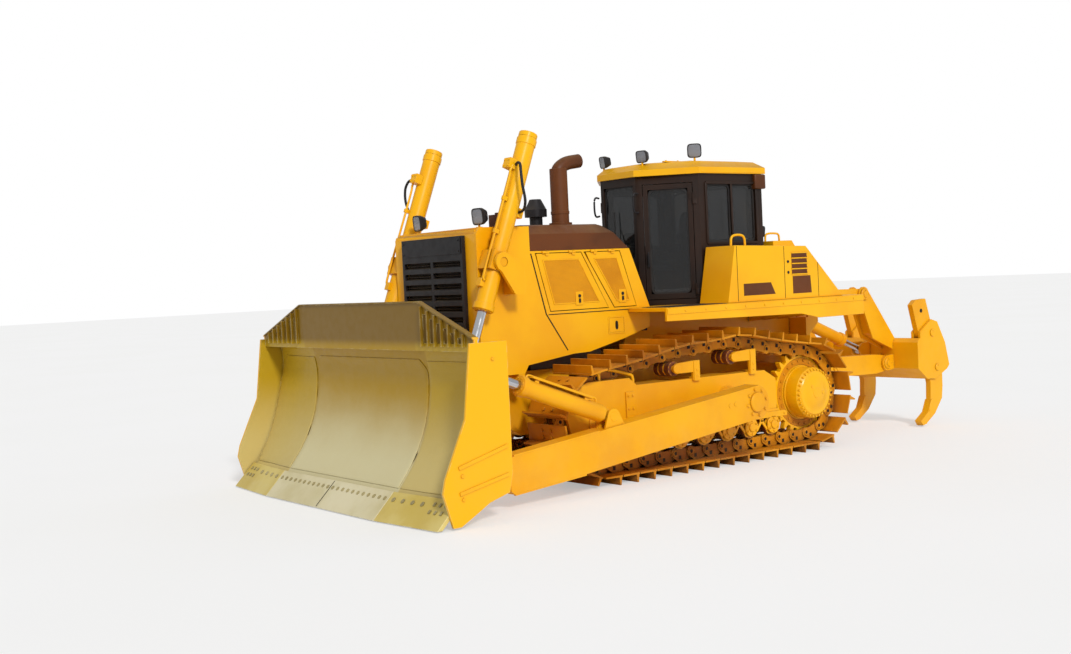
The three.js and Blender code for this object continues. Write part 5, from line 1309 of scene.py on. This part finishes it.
def inset_outline(outline, gap):
    """An outline with every side moved inwards by a gap: each corner goes along its own mitre."""
    points = np.asarray(outline, float)
    after = np.roll(points, -1, axis=0)
    ahead = unit(after - points)
    behind = np.roll(ahead, 1, axis=0)
    turn = np.sign(np.sum(points[:, 0] * after[:, 1] - after[:, 0] * points[:, 1]))
    normal = turn * np.column_stack((-ahead[:, 1], ahead[:, 0]))
    normal_behind = turn * np.column_stack((-behind[:, 1], behind[:, 0]))
    mitre = unit(normal + normal_behind)
    return points + mitre * gap / np.sum(mitre * normal, axis=1, keepdims=True)


def frame_strips(outline, face, width, height):
    """A raised strip round an outline on a face square to X."""
    x, corners = face + height / 2, list(outline)
    ends = zip(corners, corners[1:] + corners[:1])
    return joined(*[strip(x, a, b, width, height) for a, b in ends])


def engine_door_trim():
    """On each engine door: a perforated panel inside its frame, a raised border, and a latch plate."""
    for which, (outline, middle) in DOOR_PANELS.items():
        body = f"engine_door_{which}_{{}}"
        panel = inset_outline(outline, 0.075)
        pair(f"mesh_{which}", plate("x", panel, PANEL_X - 0.002, PANEL_X + 0.0015), "mesh", body)
        border = frame_strips(panel, PANEL_X, 0.012, 0.006)
        pair(f"door_border_{which}", border, "yellow", body, 0.002)
        face, half = PANEL_X + 0.008, 0.050
        latch = block((PANEL_X, face), (middle - half, middle + half), (1.800, 1.940))
        pair(f"door_latch_{which}", latch, "yellow", body, 0.003)
        lock = disc((face, middle, 1.895), OUT, 0.018, 0.006, 20)
        grip = strip(face + 0.004, (middle, 1.825), (middle, 1.868), 0.022, 0.010)
        pair(f"door_lock_{which}", joined(lock, grip), "black", body, 0.002)


def panel_trim():
    """The dark slanted seam behind the guard, the seam under the doors, and a small hatch low on the
    panel with a dark plate as painted shade of its grip's hollow."""
    x = PANEL_X + 0.001
    line = [(-2.122, 2.345), (-1.960, 1.730), (-1.700, 1.345)]
    seams = [strip(x, a, b, 0.012, 0.005) for a, b in zip(line, line[1:])]
    seams.append(strip(x, (-1.930, 1.722), (-0.560, 1.722), 0.008, 0.004))
    pair("panel_seams", joined(*seams), "void")
    outline = [(-1.140, 1.480), (-0.920, 1.480), (-0.920, 1.650), (-1.140, 1.650)]
    lid = plate("x", inset_outline(outline, 0.014), PANEL_X - 0.002, PANEL_X + 0.004)
    hatch = joined(frame_strips(outline, PANEL_X, 0.010, 0.006), lid)
    pair("service_hatch", hatch, "yellow", bevel=0.002)
    # The grip is a dark plate: painted shade of its hollow.
    grip = np.array((-1.030, 1.565)) + (0.018, 0.045) * rounded_square(20, 0.7)
    pair("hatch_grip", plate("x", grip, PANEL_X + 0.004, PANEL_X + 0.009), "void")


def stack_skins():
    """Round skins of the exhaust stack and the air intake, with clamps, a rain bend and a cap."""
    x, y, root = 0.350, -1.400, 2.640
    stations = [(0, 0.122), (0.030, 0.122), (0.034, 0.0935), (0.600, 0.0935), (0.604, 0.086)]
    stack = turned((x, y, root), UP, stations, 48)
    stations = [(0, 0.094), (0.003, 0.099), (0.032, 0.099), (0.035, 0.094)]
    clamp = turned((x, y, root + 0.120), UP, stations, 48)
    bend = [(0, 3.180), (0.010, 3.240), (0.110, 3.300), (0.283, 3.330)]
    bend = smooth_line([(x, y + back, z) for back, z in bend])
    upward = np.cross(unit(np.gradient(bend, axis=0)), (1.0, 0.0, 0.0))
    radii = np.repeat((0.0735, 0.066), len(bend))
    bend, upward = np.concatenate((bend, bend[::-1])), np.concatenate((upward, upward[::-1]))
    outlet = carried(circle(32), bend, OUT, upward, radii)
    piece("exhaust_skin", joined(stack, clamp, outlet), "brown", sharp=32)
    cap = [
        (0, 0.071), (0.118, 0.071), (0.120, 0.121), (0.200, 0.122), (0.206, 0.116), (0.312, 0.062),
        (0.314, 0.0),
    ]
    piece("air_intake_skin", turned((-0.100, -1.380, root), UP, cap, 48), "black", sharp=32)


grille_parts()
engine_door_trim()
panel_trim()
stack_skins()


# ---------------------------------------------------------------- lamps
def lamp(name, place, towards, size, stalk):
    """A work lamp: a rounded square case with a rim and a fluted lens, on a stalk."""
    place = np.asarray(place, float)
    towards = unit(towards)
    across = unit(np.cross(UP, towards))
    square = rounded_square(24, 0.45, math.pi / 24)

    def shell(stations):
        distance, share = np.array(stations).T
        path = place + towards * distance[:, None]
        return carried(square, path, across, np.cross(towards, across), size * share)

    case = [
        (-0.075, 0.55), (-0.070, 0.66), (-0.010, 0.98), (0.020, 1.0), (0.024, 0.93), (0.016, 0.88),
    ]
    piece(name + "_case", shell(case), "black", sharp=40)
    lens = [(0.010, 0.86), (0.019, 0.86), (0.021, 0.80)]
    piece(name + "_lens", shell(lens), "lens", sharp=40)
    foot = place - (0, 0, size + stalk)
    stem = tube(np.linspace(place - (0, 0, size * 0.85), foot, 4), 0.012)
    piece(name + "_stem", joined(stem, disc(foot, UP, 0.034, 0.012, 20)), "yellow")


for side_name, side in SIDES:
    lamp(
        "guard_lamp_" + side_name, (side * 0.560, -2.600, GUARD_TOP + 0.115),
        (side * 0.1, -1, -0.1), 0.085, 0.030,
    )
    lamp(
        "roof_lamp_" + side_name, (side * 0.330, -0.180, 3.395), (side * 0.25, -1, -0.15),
        0.070, 0.068,
    )
    lamp("rear_lamp_" + side_name, (side * 0.560, 1.420, 2.520), (0.0, 1.0, -0.15), 0.070, 0.048)
lamp("roof_lamp_side", (0.640, 0.330, 3.440), (0.8, -0.8, -0.1), 0.080, 0.055)
lamp_box = block((0.500, 0.660), (-2.440, -2.300), (GUARD_TOP, GUARD_TOP + 0.130))
lamp_cap = disc((0.58, -2.37, GUARD_TOP + 0.13), UP, 0.04, 0.02)
piece("guard_lamp_box", joined(lamp_box, lamp_cap), "brown", bevel=0.008)

# ---------------------------------------------------------------- cab
CAB_HALF, CAB_POST, CAB_FRONT, CAB_FRONT_HALF = 0.820, 0.200, -0.270, 0.300
DOOR_REAR = np.array((CAB_HALF, CAB_POST, 0.0))
DOOR_AHEAD = unit(np.array((CAB_FRONT_HALF, CAB_FRONT, 0.0)) - DOOR_REAR)
DOOR_OUT = np.array((-DOOR_AHEAD[1], DOOR_AHEAD[0], 0.0))
DOOR_LENGTH = 0.7009


def pane(centre, across, half_width, half_height, outward):
    """A glass pane with rounded corners, carried through its thickness."""
    outline = rounded_square(48, 0.16) * (half_width, half_height)
    return carried(outline, [centre, centre + outward * 0.006], across, UP)


def gasket(centre, across, half_width, half_height, outward):
    """The rubber round a pane: a flat ring carried round the same rounded outline."""
    width, depth, around = 0.020, 0.016, 64
    corner = rounded_square(around, 0.16)
    loops = []
    for grow, out in ((0.0, 0.0), (0.0, depth), (-width, depth), (-width, 0.0)):
        half = corner * (half_width + grow, half_height + grow)
        loops.append(centre + outward * out + half[:, :1] * across + half[:, 1:] * UP)
    k = np.arange(around)
    ahead, last = (k + 1) % around, 3 * around
    closing = np.stack((last + k, last + ahead, ahead, k), -1).tolist()
    return np.concatenate(loops), grid_faces(4, around, True) + closing


def window(name, centre, across, half_width, half_height, outward, body="tractor"):
    """A smoked pane and the gasket round it, on each side where the name holds a {}."""
    add = pair if "{}" in name else piece
    centre, across, outward = np.asarray(centre, float), unit(across), unit(outward)
    glass = pane(centre, across, half_width, half_height, outward)
    rubber = gasket(centre - outward * 0.004, across, half_width, half_height, outward)
    add(name + "_pane", glass, "glass", body, sharp=60)
    add(name + "_gasket", rubber, "rubber", body, sharp=50)


def wiper(name, root, tip, outward):
    """A windscreen wiper: pivot cap, arm, and a blade of rubber across its end."""
    root, tip, outward = (np.asarray(v, float) for v in (root, tip, outward))
    arm = bar(root + outward * 0.020, tip + outward * 0.020, 0.014, 0.008, outward)
    tip = tip + outward * 0.010
    blade = bar(tip - UP * 0.20, tip + UP * 0.20, 0.010, 0.012, outward)
    piece(name, joined(disc(root, outward, 0.024, 0.026, 20), arm, blade), "rubber")


def window_frames():
    """The frame strips round the two side windows, with the divider between them."""
    outline = [(0.300, 2.392), (1.100, 2.392), (1.100, 3.068), (0.300, 3.068)]
    frame_part = frame_strips(outline, CAB_HALF - 0.001, 0.030, 0.014)
    divider = strip(CAB_HALF + 0.002, (0.700, 2.400), (0.700, 3.060), 0.026, 0.016)
    pair("side_window_frame", joined(frame_part, divider), "cab", bevel=0.005)


def cab_handles():
    """A pull handle on each door and a grab loop beside the windscreen."""
    handle = DOOR_REAR + DOOR_AHEAD * 0.585 + DOOR_OUT * 0.012
    proud = handle + DOOR_OUT * 0.020
    parts = [
        bar(handle + UP * 2.160, handle + UP * 2.290, 0.030, 0.024, DOOR_OUT),
        bar(proud + UP * 2.200, proud + UP * 2.330, 0.018, 0.016, DOOR_OUT),
    ]
    pair("door_handle", joined(*parts), "black", "cab_door_{}", 0.004)
    loop = [(0, 2.980), (0.050, 2.985), (0.072, 2.940), (0.072, 2.820), (0.050, 2.770), (0, 2.775)]
    x, y = CAB_FRONT_HALF + 0.035, CAB_FRONT - 0.002
    line = smooth_line([(x, y - ahead, z) for ahead, z in loop], 6)
    pair("cab_grab", tube(line, 0.011, 12, (0, 0.2, 1)), "black")


def roof_details():
    """Two bolted ribs on the roof, the gutter round it, and boxes at its rear corners; the middle of
    the roof stays flat."""
    top, lines = 3.331, (-0.46, 0.46)
    ribs = [bar((x, 0.02, top), (x, 1.00, top), 0.040, 0.014) for x in lines]
    rib_bolts = [
        bolt((x, y, top + 0.007), UP, 0.010, 0.010) for x in lines for y in np.linspace(0.06, 0.96, 6)
    ]
    piece("roof_ribs", joined(*ribs, *rib_bolts), "yellow", bevel=0.004)
    box_part = block((0.700, 0.860), (1.060, 1.235), (3.000, 3.165))
    pair("roof_corner_box", box_part, "brown", bevel=0.014)
    x, z = CAB_HALF + 0.030, 3.190
    pair("roof_gutter", bar((x, 0.215, z), (x, 1.215, z), 0.018, 0.022), "yellow", bevel=0.004)


window("front_window", (0, CAB_FRONT + 0.030, 2.665), OUT, 0.252, 0.417, AHEAD)
window("rear_window", (0, 1.170, 2.750), OUT, 0.622, 0.312, (0, 1, 0))
for number, middle in ((1, 0.504), (2, 0.896)):
    place = (CAB_HALF - 0.030, middle, 2.730)
    window(f"side_window_{number}_{{}}", place, (0, 1, 0), 0.188, 0.324, OUT)
door_middle = DOOR_REAR + DOOR_AHEAD * (DOOR_LENGTH / 2) - DOOR_OUT * 0.028 + UP * 2.4375
window("door_window_{}", door_middle, DOOR_AHEAD, 0.224, 0.580, DOOR_OUT, "cab_door_{}")
window_frames()
cab_handles()
screen_y = CAB_FRONT - 0.004
wiper("front_wiper", (0.10, screen_y, 2.215), (-0.06, screen_y, 2.600), AHEAD)
wiper("rear_wiper", (0.0, 1.202, 2.400), (0.16, 1.202, 2.720), (0, 1, 0))
roof_details()

# ---------------------------------------------------------------- side boxes and deck
BOX_X = 1.300
VENT_STEP = 0.060


def side_box_trim():
    """On each side box: louvred vents over a blank dark panel, door seams, locks and a grab bar."""
    vents = []
    for z in 2.215 - VENT_STEP * np.arange(4):
        low, high = z - 0.022, z + 0.022
        outline = [(1.120, low), (1.380, low), (1.372, high), (1.120, high)]
        vents.append(plate("x", outline, BOX_X - 0.004, BOX_X + 0.003))
    pair("side_box_vents", joined(*vents), "brown", bevel=0.002)
    lips = [
        strip(BOX_X + 0.006, (1.115, z), (1.388, z), 0.012, 0.012)
        for z in 2.246 - VENT_STEP * np.arange(5)
    ]
    pair("side_box_lips", joined(*lips), "yellow", bevel=0.002)
    outlines = (
        [(1.130, 1.790), (1.440, 1.790), (1.425, 1.985), (1.130, 1.985)],
        [(0.340, 1.800), (0.840, 1.800), (0.770, 1.930), (0.340, 1.930)],
    )
    panels = [plate("x", outline, BOX_X, BOX_X + 0.003) for outline in outlines]
    pair("side_box_blank_panels", joined(*panels), "brown", bevel=0.001)
    seams = [
        strip(BOX_X + 0.0005, (y, 1.745), (y, top), 0.006, 0.003)
        for y, top in ((0.250, 2.342), (1.000, 2.325), (1.560, 2.130))
    ]
    pair("side_box_seams", joined(*seams), "void")
    loop = [
        (0.270, 2.345), (0.280, 2.430), (0.330, 2.462), (0.430, 2.462), (0.480, 2.430),
        (0.490, 2.340),
    ]
    rail = smooth_line([(1.200, *spot) for spot in loop], 6)
    pair("side_box_rail", tube(rail, 0.013, 14), "yellow")
    locks = [disc((BOX_X, 1.060, z), OUT, 0.016, 0.007, 18) for z in (2.150, 2.030)]
    pair("side_box_locks", joined(*locks), "black")


def deck_trim():
    """Edge lip and bolts of the fender, its gussets underneath, and tread strips on top."""
    lip_z, low, tread_z = 1.690, 1.652, 1.7335
    lip = bar((1.352, -0.850, lip_z), (1.352, 2.280, lip_z), 0.010, 0.060)
    lip_bolts = bolts(1.357, [(y, lip_z) for y in np.linspace(-0.6, 2.1, 10)], 0.012, 0.009)
    pair("fender_lip", joined(lip, *lip_bolts), "yellow", bevel=0.003)
    outline = [(0.960, low), (1.335, low), (1.335, 1.630), (0.960, 1.545)]
    ribs = [plate("y", outline, y - 0.008, y + 0.008) for y in np.linspace(0.95, 1.90, 6)]
    pair("fender_ribs", joined(*ribs), "yellow", bevel=0.002)
    treads = [
        bar((x, -0.780, tread_z), (x, 0.060, tread_z), 0.026, 0.005)
        for x in np.linspace(0.90, 1.30, 7)
    ]
    pair("deck_tread", joined(*treads), "black", bevel=0.001)


def tank_details():
    """The fuel tank's filler cap, its grab rail and the seams of its plates."""
    cap = [
        disc((-0.45, 1.48, z), UP, radius, height, sides, 0.3)
        for z, radius, height, sides in ((2.400, 0.075, 0.050, 32), (2.450, 0.045, 0.020, 24))
    ]
    piece("tank_filler_cap", joined(*cap), "black")
    loop = [
        (1.36, 2.395), (1.37, 2.470), (1.42, 2.490), (1.54, 2.490), (1.59, 2.470), (1.60, 2.395),
    ]
    rail = smooth_line([(0.70, *spot) for spot in loop], 6)
    piece("tank_rail", tube(rail, 0.012, 14), "yellow")
    seams = [
        bar((x, 1.652, 2.385), (x, 1.955, 2.005), 0.006, 0.004, (0, 1, 1)) for x in (-0.43, 0.43)
    ]
    piece("tank_seams", joined(*seams), "void")


side_box_trim()
deck_trim()
tank_details()


# ---------------------------------------------------------------- seat and controls
def cushion(name, centre, half, lean, crown, channels):
    """A stuffed pad: a rounded box on a sphere's grid of latitude and longitude. Each face swells by a
    cosine crown, sides pull in between the corners, and sewn channels are narrow valleys across it."""
    rows, around = 41, 72
    latitude = np.linspace(-np.pi / 2, np.pi / 2, rows)[:, None]
    longitude = np.linspace(0, 2 * np.pi, around, endpoint=False)[None, :]

    def squared(value, power):
        return np.sign(value) * np.abs(value) ** power

    x = squared(np.cos(latitude), 0.34) * squared(np.cos(longitude), 0.40)
    y = squared(np.cos(latitude), 0.34) * squared(np.sin(longitude), 0.40)
    z = squared(np.sin(latitude), 0.55) * np.ones_like(longitude)
    bulge_x, bulge_y = np.cos(x * np.pi / 2), np.cos(y * np.pi / 2)
    pulled = 1 - 0.05 * bulge_x * np.abs(y) - 0.05 * bulge_y * np.abs(x)
    swell = 1 + crown * bulge_x * bulge_y - crown
    rows_of_stitches = np.linspace(-0.5, 0.5, channels)
    valley = sum(np.exp(-(((y - place) / 0.035) ** 2)) for place in rows_of_stitches)
    z = z * swell - np.where(z > 0, 0.10 * valley * (np.abs(x) < 0.96), 0)
    points = np.stack((x * pulled * half[0], y * pulled * half[1], z * half[2]), -1).reshape(-1, 3)
    cosine, sine = math.cos(lean), math.sin(lean)
    turn = np.array(((1, 0, 0), (0, cosine, -sine), (0, sine, cosine)))
    points = points @ turn.T + np.asarray(centre)
    pad = piece(name, (points, grid_faces(rows, around, True)), "cloth", sharp=80)
    smooth = pad.modifiers.new("smooth", "SUBSURF")
    smooth.levels = smooth.render_levels = 1
    return pad


def seat_and_controls():
    """The seat's pads on their frame, the grips and arm rests beside it, and the screen ahead."""
    seat = cushion("seat_cushion", (0, 0.625, 2.168), (0.248, 0.250, 0.066), 0.0, 0.28, 3)
    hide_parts("operator_seat")
    lean = math.radians(82)
    cushion("seat_back_cushion", (0, 0.868, 2.500), (0.238, 0.322, 0.048), lean, 0.30, 4)
    lean = math.radians(86)
    cushion("seat_head_cushion", (0, 0.927, 2.905), (0.126, 0.096, 0.036), lean, 0.30, 1)
    seat_frame = [block((-0.235, 0.235), (0.400, 0.880), (2.101, 2.112))]
    for x, low, high, width, height in (
        (0.18, (0.890, 2.20), (0.968, 2.80), 0.026, 0.022),
        (0.04, (0.940, 2.78), (0.955, 2.92), 0.014, 0.014),
    ):
        seat_frame += [bar((s, *low), (s, *high), width, height, (0, 1, 0)) for s in (-x, x)]
    piece("seat_frame", joined(*seat_frame), "black", bevel=0.003)
    knob = [(0, 0.020), (0.010, 0.026), (0.050, 0.031), (0.085, 0.024), (0.096, 0.010), (0.097, 0)]
    pair("control_grip", turned((0.395, 0.281, 2.440), (0, -0.14, 1), knob, 24), "rubber")
    rest = block((0.330, 0.460), (0.420, 0.780), (2.331, 2.372))
    pair("arm_rest", rest, "rubber", bevel=0.012)
    screen = bar((0.0, -0.150, 2.425), (0.0, -0.100, 2.560), 0.230, 0.024, (0, 1, 0))
    piece("dash_screen", screen, "black", bevel=0.006)


seat_and_controls()

# ---------------------------------------------------------------- ripper
RIPPER_PINS = {
    "ripper_arms": ((2.500, 0.835), (3.480, 0.815)),
    "ripper_links": ((3.070, 1.705), (2.090, 1.725)),
}
SHANK_X = {"left": 1.045, "middle": 0.0, "right": -1.045}
SHANK_HALF, POCKET_HALF = 0.0375, 0.0725
TIP_GUARD = [
    (3.642, 0.078), (3.682, 0.020), (3.760, 0.034), (3.850, 0.170), (3.905, 0.330), (3.868, 0.330),
    (3.795, 0.176),
]


def ripper_pin_caps():
    """Round pin caps with four keeper bolts on the arms and links."""
    face = 0.7455
    keepers = np.array(((0.054, 0), (-0.054, 0), (0, 0.054), (0, -0.054)))
    for body, spots in RIPPER_PINS.items():
        caps = []
        for spot in spots:
            caps.append(disc((face, *spot), OUT, 0.072, 0.016, 32, 0.4))
            caps.append(disc((face + 0.016, *spot), OUT, 0.040, 0.010, 24, 0.4))
            caps += bolts(face + 0.014, keepers + spot, 0.009, 0.009)
        pair(f"{body[:-1]}_pin_caps", joined(*caps), "arm_yellow", body)


def shank_trim(word, x):
    """On one shank and its pocket: a dark disc as painted shade of a lifting hole, two pin bosses with a
    keeper bolt each, and a tip guard with its pin."""
    holes, bosses, tips = [], [], []
    for out in (-1, 1):
        along, face, pocket = (out, 0, 0), x + out * SHANK_HALF, x + out * POCKET_HALF
        holes.append(disc((face - out * 0.002, 3.735, 1.462), along, 0.026, 0.004, 24, 0.2))
        for y, z in ((3.905, 1.175), (3.985, 0.735)):
            bosses.append(disc((pocket, y, z), along, 0.046, 0.014, 28, 0.4))
            bosses.append(bolt((pocket + out * 0.012, y, z + 0.026), along, 0.010, 0.009))
        tips.append(plate("x", TIP_GUARD, *sorted((face - out * 0.002, face + out * 0.012))))
        tips.append(disc((face + out * 0.010, 3.832, 0.196), along, 0.016, 0.008, 20, 0.3))
    # A dark disc stands for the lifting hole: painted shade.
    piece("shank_hole_" + word, joined(*holes), "void", "ripper_beam", sharp=30)
    piece("shank_pin_bosses_" + word, joined(*bosses), "arm_yellow", "ripper_beam")
    piece("shank_tip_guard_" + word, joined(*tips), "arm_yellow", "ripper_beam", 0.003)


for word, x in SHANK_X.items():
    shank_trim(word, x)
ripper_pin_caps()
barrel = collar(RIPPER, [(0.130, 0.070), (0.136, 0.0765), (0.686, 0.0765)])
barrel = joined(barrel, gland(RIPPER, 0.760, 0.075))
pair("ripper_cylinder_skin", barrel, "arm_yellow", "ripper_barrels", sharp=30)
ripper_rod = sleeve(RIPPER, [(0.740, 0.0385), (1.065, 0.0385)])
pair("ripper_rod_skin", ripper_rod, "chrome", "ripper_rods")

# ---------------------------------------------------------------- floor
FLOOR_GLOW = 0.42
FLOOR_REACH = 120.0


def make_floor():
    """A wide pale floor that the camera sees near white and that still takes the machine's shadow."""
    mesh = bpy.data.meshes.new("floor")
    corners = np.array(((-1, -1, 0), (1, -1, 0), (1, 1, 0), (-1, 1, 0))) * FLOOR_REACH
    mesh.from_pydata(corners.tolist(), [], [(0, 1, 2, 3)])
    floor = linked("floor", mesh)
    dull = {"Roughness": 0.9, "Specular IOR Level": 0.1}
    material, tree, shader = new_material("pale_floor", **dull)
    place = node(tree, "ShaderNodeTexCoord").outputs["Object"]
    mottled = ranged(tree, noise(tree, place, 0.25, 2.0), 0.3, 0.7)
    tone = blended(tree, mottled, srgb(250, 250, 249), srgb(252, 252, 252))
    tree.links.new(tone, shader.inputs["Base Color"])
    ray = node(tree, "ShaderNodeLightPath")
    glow = node(tree, "ShaderNodeEmission", {"Color": (1, 1, 1, 1), "Strength": 1.0})
    share = product(tree, ray.outputs["Is Camera Ray"], FLOOR_GLOW)
    seen = node(tree, "ShaderNodeMixShader", {0: share, 1: shader.outputs[0], 2: glow.outputs[0]})
    output = next(n for n in tree.nodes if n.type == "OUTPUT_MATERIAL")
    tree.links.new(seen.outputs[0], output.inputs["Surface"])
    mesh.materials.append(material)


make_floor()
